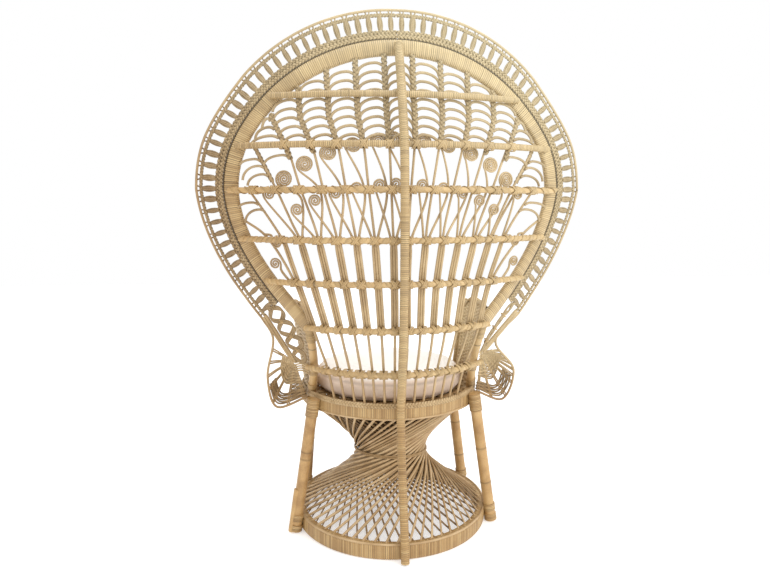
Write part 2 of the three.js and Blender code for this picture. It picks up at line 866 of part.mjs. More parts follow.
// A strand that leans out across the next spindle and laps the foot of the next column
function columnStrand(position, way) {
  const leaning = (share, height) => place(position + share * way, height, 1);
  const leaveHeight = splitHeight + strandLeave;
  const places = [
    ...strandRoot(position, way * strandOffset),
    leaning(0.2, leaveHeight), leaning(0.475, (leaveHeight + crossHeight) / 2), leaning(0.75, crossHeight),
  ];
  if (Math.abs(position + way) <= columnsPerSide + 0.5) {
    places.push(leaning(0.875, (crossHeight + crownHeight) / 2));
    places.push(leaning(1, crownHeight), leaning(1, crownHeight + strandLap));
  } else {
    places.push(leaning(0.85, crossHeight + strandLap));
  }
  return backCane(places);
}

// The innermost strand goes straight up to its own column
function innerStrand(position, way) {
  const heights = [splitHeight + 2 * strandLeave, crossHeight, crownHeight, crownHeight + strandLap];
  return backCane([
    ...strandRoot(position, -way * strandOffset),
    ...heights.map((height) => place(position, height, 1)),
  ]);
}

for (const { name, sign } of sides) {
  for (let number = 1; number <= spindlesPerSide; number += 1) {
    const position = sign * (number - 0.5);
    const barHeights = [bundleHeight - railRadius, bundleHeight, railHeights[4], barTop];
    const bar = backCane(barHeights.map((z) => place(position, z, bundleLayer)), barWidth, bundleDepth);
    const pieces = [spindleStem(position), bar, columnStrand(position, sign)];
    if (number === 1) {
      pieces.push(innerStrand(position, sign));
    } else {
      pieces.push(smallScrollStrand(position, sign));
    }
    if (number < spindlesPerSide && (number > 1 || sign > 0)) {
      pieces.push(largeScrollStrand(position, sign));
    }
    addPiece(`spindle_${name}_${number}`, toGeometry(joined(pieces).subtract(hoopClear)), cane);
  }
}

// Short canes at the sides that wind up into a pair of scrolls beside the hoop

for (const { name, sign } of sides) {
  const footHeight = railHeights[4] - railRadius;
  const scrolls = [0, 1].map((step) => {
    const centreZ = splitHeight + sideScrollRise - step * sideScrollDrop;
    const inset = sideScrollInset + (1 - step) * sideScrollShift;
    const centreX = sign * (hoopHalfWidthAt(centreZ) - inset);
    const reach = scrollRadius(sideScrollTurns);
    const scroll = scrollPlaces(centreX, centreZ, sideScrollTurns, sign > 0 ? Math.PI : 0, -sign);
    const footX = sign * (hoopHalfWidthAt(footHeight) - sideScrollInset - reach);
    return backCane([
      [footX, footHeight, 0], [centreX - sign * reach, centreZ - reach, step],
      ...scroll.map(([x, z]) => [x, z, step]),
    ]);
  });
  addPiece(`side_scroll_${name}`, toGeometry(joined(scrolls).subtract(hoopClear)), cane);
}

const scrollGaps = [largeScrollTurns, smallScrollTurns, sideScrollTurns].map(leastScrollGap);
console.log(`least gap between the turns of a scroll: ${Math.min(...scrollGaps).toFixed(2)} mm`);

// Crown of columns and arched scales

function crown() {
  const pieces = [];
  const columnTop = (position) => hoopInnerHeight(
    Math.abs(position) * spindlePitch(hoopTop) + columnWidth / 2,
  );
  for (let step = 0; step < 2 * columnsPerSide; step += 1) {
    const position = step - columnsPerSide + 0.5;
    const top = Math.max(columnTop(position), crownHeight + 2 * strandLap);
    const heights = [crownHeight, crownHeight + strandLap, railHeights[0]].filter((height) => height < top);
    const places = [...heights, top].map((height) => place(position, height, bundleLayer));
    pieces.push(backCane(places, columnWidth, bundleDepth));
  }
  for (let step = 1; step < 2 * columnsPerSide; step += 1) {
    const position = step - columnsPerSide;
    const limit = Math.min(columnTop(Math.abs(position) + 0.5), columnTop(position)) - scaleMargin;
    let height = crownHeight + scaleFirstRise;
    do {
      const width = spindlePitch(height);
      const foot = height;
      pieces.push(backCane([-0.5, -0.22, 0.22, 0.5].map((across) => [
        (position + across) * width,
        foot + scaleArch * (1 - 4 * across * across),
        bundleLayer,
      ])));
      height += scaleSpacing;
    } while (height < limit);
  }
  return joined(pieces);
}

addPiece('crown_scales', toGeometry(crown()), cane);

// Arms

const armRing = seatRingRadius - ringInset;
const armTopRing = armRing + armFlare;

function armRailRoute(sign) {
  const drop = armHeight - seatHeight;
  const along = [armRearAngle, 12, -4, armFrontAngle + 8].map(
    (angle) => onRing(seatCentre, armTopRing, angle, sign, armHeight),
  );
  const down = [0.18, 0.55, 1].map((share) => onRing(
    seatCentre,
    THREE.MathUtils.lerp(armTopRing, armRing, share),
    armFrontAngle,
    sign,
    armHeight - share * (drop - clearance),
  ));
  return smoothPoints([...along, ...down], 14);
}

for (const { name, sign } of sides) {
  const rail = toSolid(roundRod(armRailRoute(sign), armRailRadius, 6, up.clone().add(backward)));
  const railClear = toSolid(roundRod(
    armRailRoute(sign), armRailRadius + clearance, 6, up.clone().add(backward),
  ));
  addPiece(
    `arm_rail_${name}`,
    toGeometry(rail.subtract(hoopClear).subtract(postClear[name]).subtract(seatRingClear)),
    wrapped,
  );
  const panelSteps = 8;
  const panelPoints = [];
  const panelWays = [];
  for (let i = 0; i <= panelSteps; i += 1) {
    const angle = THREE.MathUtils.lerp(armPanelRearAngle, armFrontAngle, i / panelSteps);
    const low = onRing(seatCentre, armRing, angle, sign, seatHeight + clearance);
    const high = onRing(seatCentre, armTopRing, angle, sign, armHeight);
    panelPoints.push(low.clone().lerp(high, 0.5));
    panelWays.push(high.clone().sub(low).normalize());
  }
  const panelHeight = Math.hypot(armHeight - seatHeight - clearance, armFlare);
  const flatPanel = new THREE.Shape([
    new THREE.Vector2(-panelHeight / 2, -armPanelThickness / 2),
    new THREE.Vector2(panelHeight / 2, -armPanelThickness / 2),
    new THREE.Vector2(panelHeight / 2, armPanelThickness / 2),
    new THREE.Vector2(-panelHeight / 2, armPanelThickness / 2),
  ]);
  const panel = toSolid(sweep(flatPanel, panelPoints, panelWays));
  addPiece(
    `arm_panel_${name}`,
    toGeometry(largestBody(panel.subtract(railClear).subtract(postClear[name]).subtract(seatRingClear))),
    woven,
  );
}

// The wing is a net between the back post and the rim's lower end, hollowed towards the front

for (const { name, sign } of sides) {
  const rod = new THREE.CatmullRomCurve3(wingRod(sign), false, 'centripetal');
  const inner = new THREE.CatmullRomCurve3([
    hoopPlace(borderEnd, sign),
    hoopPlace(0.5 * (1 + borderEnd), sign),
  ].map(({ point, outward }) => point.addScaledVector(outward, borderStart + 2)).concat(
    postRoute(sign).slice(1, -1).reverse().map(
      (point) => point.add(new THREE.Vector3(sign * (postRadius + wingThickness / 2 + clearance), 0, 0)),
    ),
  ), false, 'centripetal');
  const surface = (u, v) => {
    const from = inner.getPoint(THREE.MathUtils.lerp(0.04, 1, v));
    const to = rod.getPoint(THREE.MathUtils.lerp(0.04, 0.86, v));
    const across = to.clone().sub(from).normalize();
    const reach = rimRadius + 2 * clearance;
    to.addScaledVector(across, -reach);
    const point = from.lerp(to, u);
    point.y -= wingDepth * 4 * u * (1 - u) * Math.sin(Math.PI * v);
    const normal = new THREE.Vector3(-across.y * sign, Math.abs(across.x), 0).normalize();
    return { point, normal };
  };
  const net = toSolid(openwork(surface, wingColumns, wingRows, wingOpen, wingOpen, wingThickness));
  addPiece(
    `arm_wing_${name}`,
    toGeometry(largestBody(
      net.subtract(rimClear).subtract(hoopClear).subtract(postClear[name]).subtract(seatRingClear),
    )),
    woven,
  );
}

// The origin moves from the centre of the base ring to the floor under the middle of the chair
const middle = new THREE.Box3().setFromObject(chair).getCenter(new THREE.Vector3());
chair.children.forEach((piece) => piece.geometry.translate(-middle.x, -middle.y, 0));

export default chair;
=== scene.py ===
import math

import bpy
import numpy as np
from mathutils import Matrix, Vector


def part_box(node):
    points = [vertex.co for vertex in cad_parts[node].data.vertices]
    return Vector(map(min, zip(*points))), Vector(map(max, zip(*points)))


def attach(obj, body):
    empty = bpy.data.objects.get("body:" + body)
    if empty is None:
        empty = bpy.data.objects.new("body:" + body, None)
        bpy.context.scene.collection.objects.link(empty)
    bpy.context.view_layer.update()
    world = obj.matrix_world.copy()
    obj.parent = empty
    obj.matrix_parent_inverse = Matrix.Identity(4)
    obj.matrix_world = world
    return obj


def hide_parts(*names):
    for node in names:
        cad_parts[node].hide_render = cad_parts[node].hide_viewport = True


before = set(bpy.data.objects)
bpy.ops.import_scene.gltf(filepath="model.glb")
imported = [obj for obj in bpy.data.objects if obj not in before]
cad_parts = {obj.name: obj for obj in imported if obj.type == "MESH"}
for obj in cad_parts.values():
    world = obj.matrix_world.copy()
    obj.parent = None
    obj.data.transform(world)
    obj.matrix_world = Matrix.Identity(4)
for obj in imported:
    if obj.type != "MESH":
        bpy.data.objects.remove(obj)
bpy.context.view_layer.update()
scene = bpy.context.scene
rng = np.random.default_rng(11)
chairBody, cushionBody = "chair_frame", "cushion"
sideNames = {1: "left", -1: "right"}

# The chair's measures are in millimetres from the base ring's centre on the floor,
# and those of the camera, the cushion and the lights in metres
ringLow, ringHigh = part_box("base_ring")
baseY = (ringLow.y + ringHigh.y) / 2
mm = 0.001
leftward, rearward, upward = np.eye(3)


def putIn(name, data):
    made = bpy.data.objects.new(name, data)
    scene.collection.objects.link(made)
    return made


def putMesh(name, points, edges, faces):
    mesh = bpy.data.meshes.new(name)
    mesh.from_pydata(points, edges, faces)
    return putIn(name, mesh)


def turnTo(made, way):
    made.rotation_euler = Vector(way).to_track_quat("-Z", "Y").to_euler()


viewpoint = {"place": (0.2402, 1.8941, 0.9662), "forward": (-0.11533, -0.98535, -0.12561), "lens": 29.41}
camera = putIn("camera", bpy.data.cameras.new("camera"))
camera.data.lens = viewpoint["lens"]
camera.data.sensor_width = 36
camera.location = Vector(viewpoint["place"]) + Vector((0, baseY, 0))
turnTo(camera, viewpoint["forward"])
scene.camera = camera
print("camera set")


# Paths

def unit(vectors):
    return vectors / np.linalg.norm(vectors, axis=-1, keepdims=True)


def lengthsAlong(points):
    return np.concatenate([[0], np.cumsum(np.linalg.norm(np.diff(points, axis=0), axis=1))])


def between(at, knots, rows):
    # rows given at the knots, read at other places
    return np.stack([np.interp(at, knots, column) for column in rows.T], axis=-1)


def smoothPath(corners, steps):
    # centripetal curve through the corners, that many steps between each two
    p = np.asarray(corners, float)
    p = np.vstack([2 * p[0] - p[1], p, 2 * p[-1] - p[-2]])
    t = np.linspace(0, 1, steps, endpoint=False)[:, None]
    found = []
    for a, b, c, d in zip(p, p[1:], p[2:], p[3:]):
        first, middle, last = (math.sqrt(np.linalg.norm(way) + 1e-9) for way in (b - a, c - b, d - c))
        leave = ((b - a) / first - (c - a) / (first + middle) + (c - b) / middle) * middle
        meet = ((c - b) / middle - (d - b) / (middle + last) + (d - c) / last) * middle
        found.append((2 * t**3 - 3 * t**2 + 1) * b + (t**3 - 2 * t**2 + t) * leave
                     + (3 * t**2 - 2 * t**3) * c + (t**3 - t**2) * meet)
    return np.vstack([*found, p[-2:-1]])


def evenPath(points, count):
    lengths = lengthsAlong(points)
    return between(np.linspace(0, lengths[-1], count), lengths, points)


def bezier(corners, count):
    a, b, c, d = np.asarray(corners, float)
    t = np.linspace(0, 1, count)[:, None]
    return a * (1 - t)**3 + 3 * b * t * (1 - t)**2 + 3 * c * t**2 * (1 - t) + d * t**3


baseRing = {"radius": 282.5, "low": 0, "high": 46}
seatRing = {"radius": 265, "low": 368, "high": 408}
baseCentre, waistCentre, seatCentre = np.array([(0, 0, 0), (0, -10, 0), (0, -70, 0)], float)


def onRing(centre, radius, degrees, side, z):
    degrees, z = np.broadcast_arrays(np.asarray(degrees, float), np.asarray(z, float))
    a = np.radians(degrees)
    return np.stack([side * (centre[0] + radius * np.cos(a)), centre[1] + radius * np.sin(a), z], axis=-1)


def levelOut(points):
    # outwards from the middle of the seat
    return unit((points - seatCentre) * [1, 1, 0])


# The fan's surface: a depth for every height, bowed from side to side

back = {
    "railHeights": (1259, 1125, 1007, 874, 757, 629, 501), "railDepths": (196, 247, 260, 261, 257, 245, 222),
    "footDepth": 203, "topDepth": 150, "bowRadius": (300, 840), "bowHeight": (470, 1010), "bowReach": 0.985,
    "railRadius": 9, "railFront": 10.25, "caneForward": 13.25, "caneLayer": 7.25,
}
hoop = {
    "top": 1398, "halfWidth": 469, "widest": 1010, "end": (262, 622), "endLean": 42, "shoulder": 0.53,
    "sideReach": 150, "forward": 21.25, "width": 47, "thickness": 22, "pitch": 5.4, "squareness": 0.78,
    "groove": 0.05, "lift": 0.14, "probe": 0.003,
}
rails = back["railHeights"]
knotHeights = np.array([seatRing["high"], *rails[::-1], hoop["top"]], float)
knotDepths = np.array([back["footDepth"], *back["railDepths"][::-1], back["topDepth"]], float)


def profileDepth(z):
    last = len(knotHeights) - 1
    high = np.clip(np.searchsorted(knotHeights, z, side="right"), 1, last)
    low = high - 1
    before, after = np.where(low > 0, low - 1, high), np.where(high < last, high + 1, low)
    span = knotHeights[high] - knotHeights[low]
    a = span / 2 / (knotHeights[low] - knotHeights[before])
    b = span / 2 / (knotHeights[after] - knotHeights[high])
    p = (z - knotHeights[low]) / span
    return (knotDepths[before] * (-a * p**3 + 2 * a * p**2 - a * p)
            + knotDepths[low] * ((1 + a) * p**3 - (1.5 + 2 * a) * p**2 + (a - 0.5) * p + 1)
            + knotDepths[high] * (-(1 + b) * p**3 + (1.5 + b) * p**2 + 0.5 * p)
            + knotDepths[after] * (b * p**3 - b * p**2))


def backDepth(x, z):
    (lowBow, highBow), (lowHeight, highHeight) = back["bowRadius"], back["bowHeight"]
    radius = lowBow + (highBow - lowBow) * np.clip((z - lowHeight) / (highHeight - lowHeight), 0, 1)
    slope = (back["topDepth"] - back["railDepths"][0]) / (hoop["top"] - rails[0])
    depth = profileDepth(np.clip(z, knotHeights[0], knotHeights[-1])) + np.maximum(z - hoop["top"], 0) * slope
    across = np.minimum(np.abs(x), back["bowReach"] * radius)
    return depth - radius + np.sqrt(radius**2 - across**2)


def backNormal(x, z):
    x, z = np.broadcast_arrays(np.asarray(x, float), np.asarray(z, float))
    return unit(np.stack([(backDepth(x - 1, z) - backDepth(x + 1, z)) / 2, np.ones_like(x),
                          (backDepth(x, z - 1) - backDepth(x, z + 1)) / 2], axis=-1))


def onBack(x, z, forward=0):
    x, z = np.broadcast_arrays(np.asarray(x, float), np.asarray(z, float))
    forward = np.asarray(forward, float)[..., None]
    return np.stack([x, backDepth(x, z), z], axis=-1) - forward * backNormal(x, z)


def backAcross(x, z):
    return unit(onBack(x + 1, z) - onBack(x - 1, z))


def hoopHalf():
    side, widest, top, reach = hoop["halfWidth"], hoop["widest"], hoop["top"], hoop["sideReach"]
    (endX, endZ), lean = hoop["end"], math.radians(hoop["endLean"])
    upper = bezier([(0, top), (hoop["shoulder"] * side, top),
                    (side, widest + hoop["shoulder"] * (top - widest)), (side, widest)], 300)
    lower = bezier([(side, widest), (side, widest - reach),
                    (endX + reach * math.sin(lean), endZ + reach * math.cos(lean)), (endX, endZ)], 300)
    return np.vstack([upper, lower[1:]])


hoopLine = hoopHalf()
hoopLengths = lengthsAlong(hoopLine)
slopes = np.gradient(hoopLine, axis=0)
hoopEdge = hoopLine - unit(np.column_stack([-slopes[:, 1], slopes[:, 0]])) * hoop["width"] / 2
hoopEdge = hoopEdge[hoopEdge[:, 1] > hoop["widest"]]


def hoopFrame(s, forward=hoop["forward"]):
    # s runs from -1, the left end, over the top to 1, the right end
    s = np.asarray(s, float)
    side = np.where(s < 0, 1.0, -1.0)

    def place(share):
        length = np.clip(share, 0, 1) * hoopLengths[-1]
        x, z = (np.interp(length, hoopLengths, hoopLine[:, k]) for k in (0, 1))
        return side * x, z

    x, z = place(np.abs(s))
    normal = backNormal(x, z)
    before, after = (onBack(*place(np.abs(s) + way * hoop["probe"]), forward) for way in (-1, 1))
    outward = unit(np.cross(normal, after - before)) * -side[..., None]
    # the border bows less than the fan
    outward = outward + normal * (hoop["lift"] * np.abs(x) / hoop["halfWidth"])[..., None]
    return onBack(x, z, forward), normal, outward


def hoopShare(z):
    # share of the hoop's half that lies above a height
    return float(np.interp(-z, -hoopLine[:, 1], hoopLengths) / hoopLengths[-1])


def hoopInside(x):
    # height of the hoop's inner edge above a place across
    return np.interp(np.abs(x), hoopEdge[:, 0], hoopEdge[:, 1])


def hoopReach(z):
    # half the width between the hoop's inner edges at a height
    return np.interp(z, hoopLine[::-1, 1], hoopLine[::-1, 0]) - hoop["width"] / 2


# Materials

def fill(tree, node, inputs):
    for key, value in inputs.items():
        if isinstance(value, bpy.types.NodeSocket):
            tree.links.new(value, node.inputs[key])
        else:
            node.inputs[key].default_value = value
    return node


def addNode(tree, kind, inputs=None, **settings):
    made = tree.nodes.new(kind)
    for key, value in settings.items():
        setattr(made, key, value)
    return fill(tree, made, inputs or {})


def nodeOut(tree, kind, inputs=None, socket=0, **settings):
    return addNode(tree, kind, inputs, **settings).outputs[socket]


def mathNode(tree, operation, first, second=0.0, third=0.0, **settings):
    return nodeOut(tree, "ShaderNodeMath", {0: first, 1: second, 2: third}, operation=operation, **settings)


def mapRange(tree, value, given, wanted):
    ends = zip(("From Min", "From Max", "To Min", "To Max"), (*given, *wanted))
    return nodeOut(tree, "ShaderNodeMapRange", {"Value": value, **dict(ends)})


def noise(tree, place, scale, detail, roughness=0.5):
    inputs = {"Vector": place, "Scale": scale, "Detail": detail, "Roughness": roughness}
    return nodeOut(tree, "ShaderNodeTexNoise", inputs, "Fac")


def attribute(tree, name):
    return nodeOut(tree, "ShaderNodeAttribute", None, "Fac", attribute_name=name)


def rampNode(tree, value, stops):
    node = addNode(tree, "ShaderNodeValToRGB", {"Fac": value})
    elements = node.color_ramp.elements
    for at in sorted(stops)[1:-1]:
        elements.new(at)
    for element, (at, colour) in zip(elements, sorted(stops.items())):
        element.position, element.color = at, (*colour, 1)
    return node.outputs["Color"]


def startMaterial(name):
    material = bpy.data.materials.new(name)
    material.use_nodes = True
    tree = material.node_tree
    return material, tree, nodeOut(tree, "ShaderNodeTexCoord", None, "Object")


def dress(tree, colour, paintedLightColour, share, seam, grain, height, bump, finish):
    # mixes in the colour of painted light, darkens it by the shade attribute and by its grain, and raises the
    # grain
    mixed = nodeOut(tree, "ShaderNodeMix", {0: share, 6: colour, 7: (*paintedLightColour, 1)}, 2, data_type="RGBA")
    clear = mathNode(tree, "SUBTRACT", 1.0, mathNode(tree, "MULTIPLY", attribute(tree, "shade"), seam))
    light = mathNode(tree, "MULTIPLY", clear, grain)
    painted = nodeOut(tree, "ShaderNodeVectorMath", {0: mixed, "Scale": light}, operation="SCALE")
    raised = nodeOut(tree, "ShaderNodeBump", {"Height": height, "Strength": bump[0], "Distance": bump[1]})
    fill(tree, tree.nodes["Principled BSDF"], {"Base Color": painted, "Normal": raised, **finish})


# painted light, mixed into the rattan towards the top and the lit side; high and low: from and to in metres,
# and the share reached
paintedLight = {"colour": (0.95, 0.9, 0.58), "least": 0.13, "across": -0.22, "high": (1.0, 1.48, 0.22),
          "low": (0.4, 0.5, 1.0)}
# blotch and fibre: detail and roughness of the noise
texture = {"blotch": (3.0,), "fibre": (4.0, 0.65), "patches": (0.3, 0.7), "streaks": (0.35, 0.65),
           "bumpDepth": 0.0006}
# seam: how far the shade attribute darkens the colour: painted shade in grooves and under crossings, and the
# poles' dark node lines
looks = {
    "peeled_pole": {
        "deep": (0.30, 0.155, 0.05), "mid": (0.50, 0.30, 0.115), "pale": (0.64, 0.43, 0.19), "tint": 0.45,
        "blotch": 26.0, "fibre": 420.0, "streak": 0.18, "seam": 0.8, "rough": (0.32, 0.52), "bump": 0.25},
    "wound_cane": {
        "deep": (0.30, 0.165, 0.055), "mid": (0.48, 0.295, 0.115), "pale": (0.64, 0.44, 0.2), "tint": 0.6,
        "blotch": 14.0, "fibre": 600.0, "streak": 0.2, "seam": 0.86, "rough": (0.36, 0.58), "bump": 0.3},
    "thin_cane": {
        "deep": (0.25, 0.135, 0.055), "mid": (0.43, 0.27, 0.12), "pale": (0.69, 0.5, 0.28), "tint": 0.6,
        "blotch": 18.0, "fibre": 520.0, "streak": 0.22, "seam": 0.75, "rough": (0.36, 0.6), "bump": 0.3},
    "plaited_cane": {
        "deep": (0.24, 0.135, 0.05), "mid": (0.42, 0.265, 0.115), "pale": (0.66, 0.48, 0.26), "tint": 0.65,
        "blotch": 20.0, "fibre": 560.0, "streak": 0.24, "seam": 0.85, "rough": (0.42, 0.66), "bump": 0.3},
}


def rattanMaterial(name, look):
    material, tree, place = startMaterial(name)
    blotch, fibre = (noise(tree, place, look[label], *texture[label]) for label in ("blotch", "fibre"))
    patches = mapRange(tree, blotch, texture["patches"], (0, 1 - look["tint"]))
    tone = mathNode(tree, "MULTIPLY_ADD", attribute(tree, "tint"), look["tint"], patches)
    colour = rampNode(tree, tone, {0: look["deep"], 0.5: look["mid"], 1: look["pale"]})
    # painted light: paler towards the top and the lit side, above the seat
    spot = addNode(tree, "ShaderNodeSeparateXYZ", {0: place}).outputs
    across = mathNode(tree, "MULTIPLY_ADD", spot[0], paintedLight["across"], paintedLight["least"])
    high, low = (mapRange(tree, spot[2], paintedLight[end][:2], (0, paintedLight[end][2])) for end in ("high", "low"))
    share = mathNode(tree, "MULTIPLY", mathNode(tree, "ADD", across, high), low, use_clamp=True)
    streak = mapRange(tree, fibre, texture["streaks"], (1 - look["streak"], 1))
    rough = mapRange(tree, fibre, (0, 1), look["rough"])
    dress(tree, colour, paintedLight["colour"], share, look["seam"], streak, fibre,
          (look["bump"], texture["bumpDepth"]), {"Roughness": rough})
    return material


peeledPole, woundCane, thinCane, plaitedCane = (rattanMaterial(name, look) for name, look in looks.items())
print("rattan materials made")


# Node trees: a cane along a path, a winding along a path, and a shape set at points

def startTree(name, sockets):
    tree = bpy.data.node_groups.new(name, "GeometryNodeTree")
    for label, kind in {"Geometry": "Geometry", **sockets, "Material": "Material"}.items():
        tree.interface.new_socket(label, in_out="INPUT", socket_type="NodeSocket" + kind)
    tree.interface.new_socket("Geometry", in_out="OUTPUT", socket_type="NodeSocketGeometry")
    return tree, tree.nodes.new("NodeGroupInput").outputs


def endTree(tree, geometry, material):
    real = nodeOut(tree, "GeometryNodeRealizeInstances", {"Geometry": geometry})
    smooth = nodeOut(tree, "GeometryNodeSetShadeSmooth", {"Geometry": real})
    dressed = nodeOut(tree, "GeometryNodeSetMaterial", {"Geometry": smooth, "Material": material})
    addNode(tree, "NodeGroupOutput", {"Geometry": dressed})
    return tree


def namedValue(tree, name, kind="FLOAT"):
    return nodeOut(tree, "GeometryNodeInputNamedAttribute", {"Name": name}, "Attribute", data_type=kind)


winding = {"steps": 4.0, "slackAbove": 0.9, "paintedShade": 0.6, "slackShade": 0.4}


def sweepTree(name, wound):
    tree, given = startTree(name, {"Width": "Float", "Depth": "Float", "Squareness": "Float", "Sides": "Int",
                                   "Step": "Float", "Groove": "Float", "Seed": "Int"})
    path = nodeOut(tree, "GeometryNodeMeshToCurve", {"Mesh": given["Geometry"]})
    step = mathNode(tree, "DIVIDE", given["Step"], winding["steps"]) if wound else given["Step"]
    path = nodeOut(tree, "GeometryNodeResampleCurve", {"Curve": path, "Length": step}, mode="LENGTH")
    facing = namedValue(tree, "facing", "FLOAT_VECTOR")
    path = nodeOut(tree, "GeometryNodeSetCurveNormal", {"Curve": path, "Normal": facing}, mode="FREE")
    scale = namedValue(tree, "thick")
    if wound:
        # the first step of each turn lies in the groove, the others on the cane
        index = nodeOut(tree, "GeometryNodeInputIndex")
        turn = mathNode(tree, "FLOOR", mathNode(tree, "DIVIDE", index, winding["steps"]))
        groove = mathNode(tree, "LESS_THAN", mathNode(tree, "MODULO", index, winding["steps"]), 0.5)
        picked = nodeOut(tree, "FunctionNodeRandomValue", {"ID": turn, "Seed": given["Seed"]}, 1,
                         data_type="FLOAT")
        # a turn here and there lies open
        slack = mathNode(tree, "GREATER_THAN", picked, winding["slackAbove"])
        wide = mathNode(tree, "MULTIPLY_ADD", groove, slack, groove)
        deep = mathNode(tree, "MULTIPLY", wide, given["Groove"])
        scale = mathNode(tree, "MULTIPLY", scale, mathNode(tree, "SUBTRACT", 1.0, deep))
        # painted shade in the groove of each turn, darker still in the open turns
        paintedShade = mathNode(tree, "MULTIPLY_ADD", slack, winding["slackShade"], winding["paintedShade"])
        paintedShade = mathNode(tree, "MULTIPLY", groove, paintedShade)
        for label, value in (("tint", picked), ("shade", paintedShade)):
            stored = {"Geometry": path, "Name": label, "Value": value}
            path = nodeOut(tree, "GeometryNodeStoreNamedAttribute", stored, data_type="FLOAT",
                           domain="POINT")
    circle = nodeOut(tree, "GeometryNodeCurvePrimitiveCircle", {"Resolution": given["Sides"], "Radius": 1.0})
    spot = addNode(tree, "ShaderNodeSeparateXYZ", {0: nodeOut(tree, "GeometryNodeInputPosition")}).outputs
    shaped = {}
    for k, label in enumerate(("Depth", "Width")):
        power = mathNode(tree, "POWER", mathNode(tree, "ABSOLUTE", spot[k]), given["Squareness"])
        signed = mathNode(tree, "MULTIPLY", mathNode(tree, "SIGN", spot[k]), power)
        shaped[k] = mathNode(tree, "MULTIPLY", signed, mathNode(tree, "DIVIDE", given[label], 2.0))
    profile = nodeOut(tree, "GeometryNodeSetPosition", {
        "Geometry": circle, "Position": nodeOut(tree, "ShaderNodeCombineXYZ", shaped)})
    swept = nodeOut(tree, "GeometryNodeCurveToMesh", {
        "Curve": path, "Profile Curve": profile, "Scale": scale, "Fill Caps": True})
    return endTree(tree, swept, given["Material"])


def placeTree(name):
    tree, given = startTree(name, {"Shape": "Object", "Size": "Float"})
    facing, along, size = (namedValue(tree, label, "FLOAT_VECTOR") for label in ("facing", "along", "size"))
    turn = nodeOut(tree, "FunctionNodeAxesToRotation", {0: facing, 1: along}, primary_axis="Z",
                   secondary_axis="X")
    placed = nodeOut(tree, "GeometryNodeInstanceOnPoints", {
        "Points": nodeOut(tree, "GeometryNodeMeshToPoints", {"Mesh": given["Geometry"]}),
        "Instance": nodeOut(tree, "GeometryNodeObjectInfo", {"Object": given["Shape"]}, "Geometry"),
        "Rotation": turn,
        "Scale": nodeOut(tree, "ShaderNodeVectorMath", {0: size, "Scale": given["Size"]}, operation="SCALE")})
    return endTree(tree, placed, given["Material"])


caneTree, windingTree = sweepTree("cane_run", False), sweepTree("wound_run", True)
bindingTree = placeTree("set_at_points")


def run(points, facing, tint=None, thick=1.0, shade=0.0, closed=False):
    count = len(points)
    tint = rng.uniform(0.1, 0.9) if tint is None else tint
    made = {"points": np.asarray(points, float), "facing": np.broadcast_to(facing, (count, 3)),
            "closed": closed}
    for label, value in (("tint", tint), ("thick", thick), ("shade", shade)):
        made[label] = np.broadcast_to(value, count)
    return made


def pointMesh(name, points, edges, values):
    made = putMesh(name, (np.asarray(points) * mm + [0, baseY, 0]).tolist(), edges, [])
    for label, data in values.items():
        data = np.ascontiguousarray(data, np.float32)
        kind, field = ("FLOAT_VECTOR", "vector") if data.ndim == 2 else ("FLOAT", "value")
        made.data.attributes.new(label, kind, "POINT").data.foreach_set(field, data.ravel())
    return made


def freeze(made):
    # keeps what the modifiers make as a plain mesh
    graph = bpy.context.evaluated_depsgraph_get()
    mesh = bpy.data.meshes.new_from_object(
        made.evaluated_get(graph), preserve_all_data_layers=True, depsgraph=graph)
    made.modifiers.clear()
    rough, made.data = made.data, mesh
    bpy.data.meshes.remove(rough)
    mesh.name = made.name
    return mesh


def grow(made, tree, values):
    # runs the tree on the object, and turns its faces outwards
    modifier = made.modifiers.new(tree.name, "NODES")
    modifier.node_group = tree
    for item in tree.interface.items_tree:
        if item.in_out == "INPUT" and item.name in values:
            modifier[item.identifier] = values[item.name]
    mesh = freeze(made)
    spots = np.zeros(len(mesh.vertices) * 3)
    mesh.vertices.foreach_get("co", spots)
    mesh.calc_loop_triangles()
    corners = np.zeros(len(mesh.loop_triangles) * 3, int)
    mesh.loop_triangles.foreach_get("vertices", corners)
    a, b, c = (spots.reshape(-1, 3)[corners.reshape(-1, 3)[:, k]] for k in range(3))
    if np.einsum("ij,ij->", a, np.cross(b, c)) < 0:
        mesh.flip_normals()
    return made


def sweep(name, runs, material, width, depth=None, tree=caneTree, step=5.0, sides=8, squareness=1.0,
          groove=0.1, seed=1):
    edges, total = [], 0
    for each in runs:
        count = len(each["points"])
        edges += [(total + i, total + (i + 1) % count) for i in range(count - (not each["closed"]))]
        total += count
    points, *values = (np.concatenate([each[label] for each in runs])
                       for label in ("points", "facing", "tint", "thick", "shade"))
    made = pointMesh(name, points, edges, dict(zip(("facing", "tint", "thick", "shade"), values)))
    return grow(made, tree, {
        "Width": width * mm, "Depth": (depth or width) * mm, "Squareness": squareness, "Sides": sides,
        "Step": step * mm, "Groove": groove, "Seed": seed, "Material": material})


def wind(name, runs, width, depth=None, pitch=4.5, sides=12, squareness=1.0, groove=0.1, seed=1):
    return sweep(name, runs, woundCane, width, depth, windingTree, pitch, sides, squareness, groove, seed)


def setShapes(name, shape, points, facing, along, sizes, material, size=1.0):
    made = pointMesh(name, points, [], {"facing": facing, "along": along, "size": sizes})
    return grow(made, bindingTree, {"Shape": shape, "Size": size, "Material": material})


def unevenSizes(low, high, count):
    return np.column_stack([rng.uniform(low, high, count), np.ones(count), np.ones(count)])


def drop(shape):
    mesh = shape.data
    bpy.data.objects.remove(shape)
    bpy.data.meshes.remove(mesh)


def merge(name, parts):
    bpy.ops.object.select_all(action="DESELECT")
    for part in parts:
        part.select_set(True)
    bpy.context.view_layer.objects.active = parts[0]
    bpy.ops.object.join()
    parts[0].name = parts[0].data.name = name
    return parts[0]


def settle(made, slotName, *nodes, body=chairBody):
    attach(made, body)
    if nodes:
        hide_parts(*nodes)


plainPlait = {"tints": (0.1, 0.9), "paintedShade": 0.38}


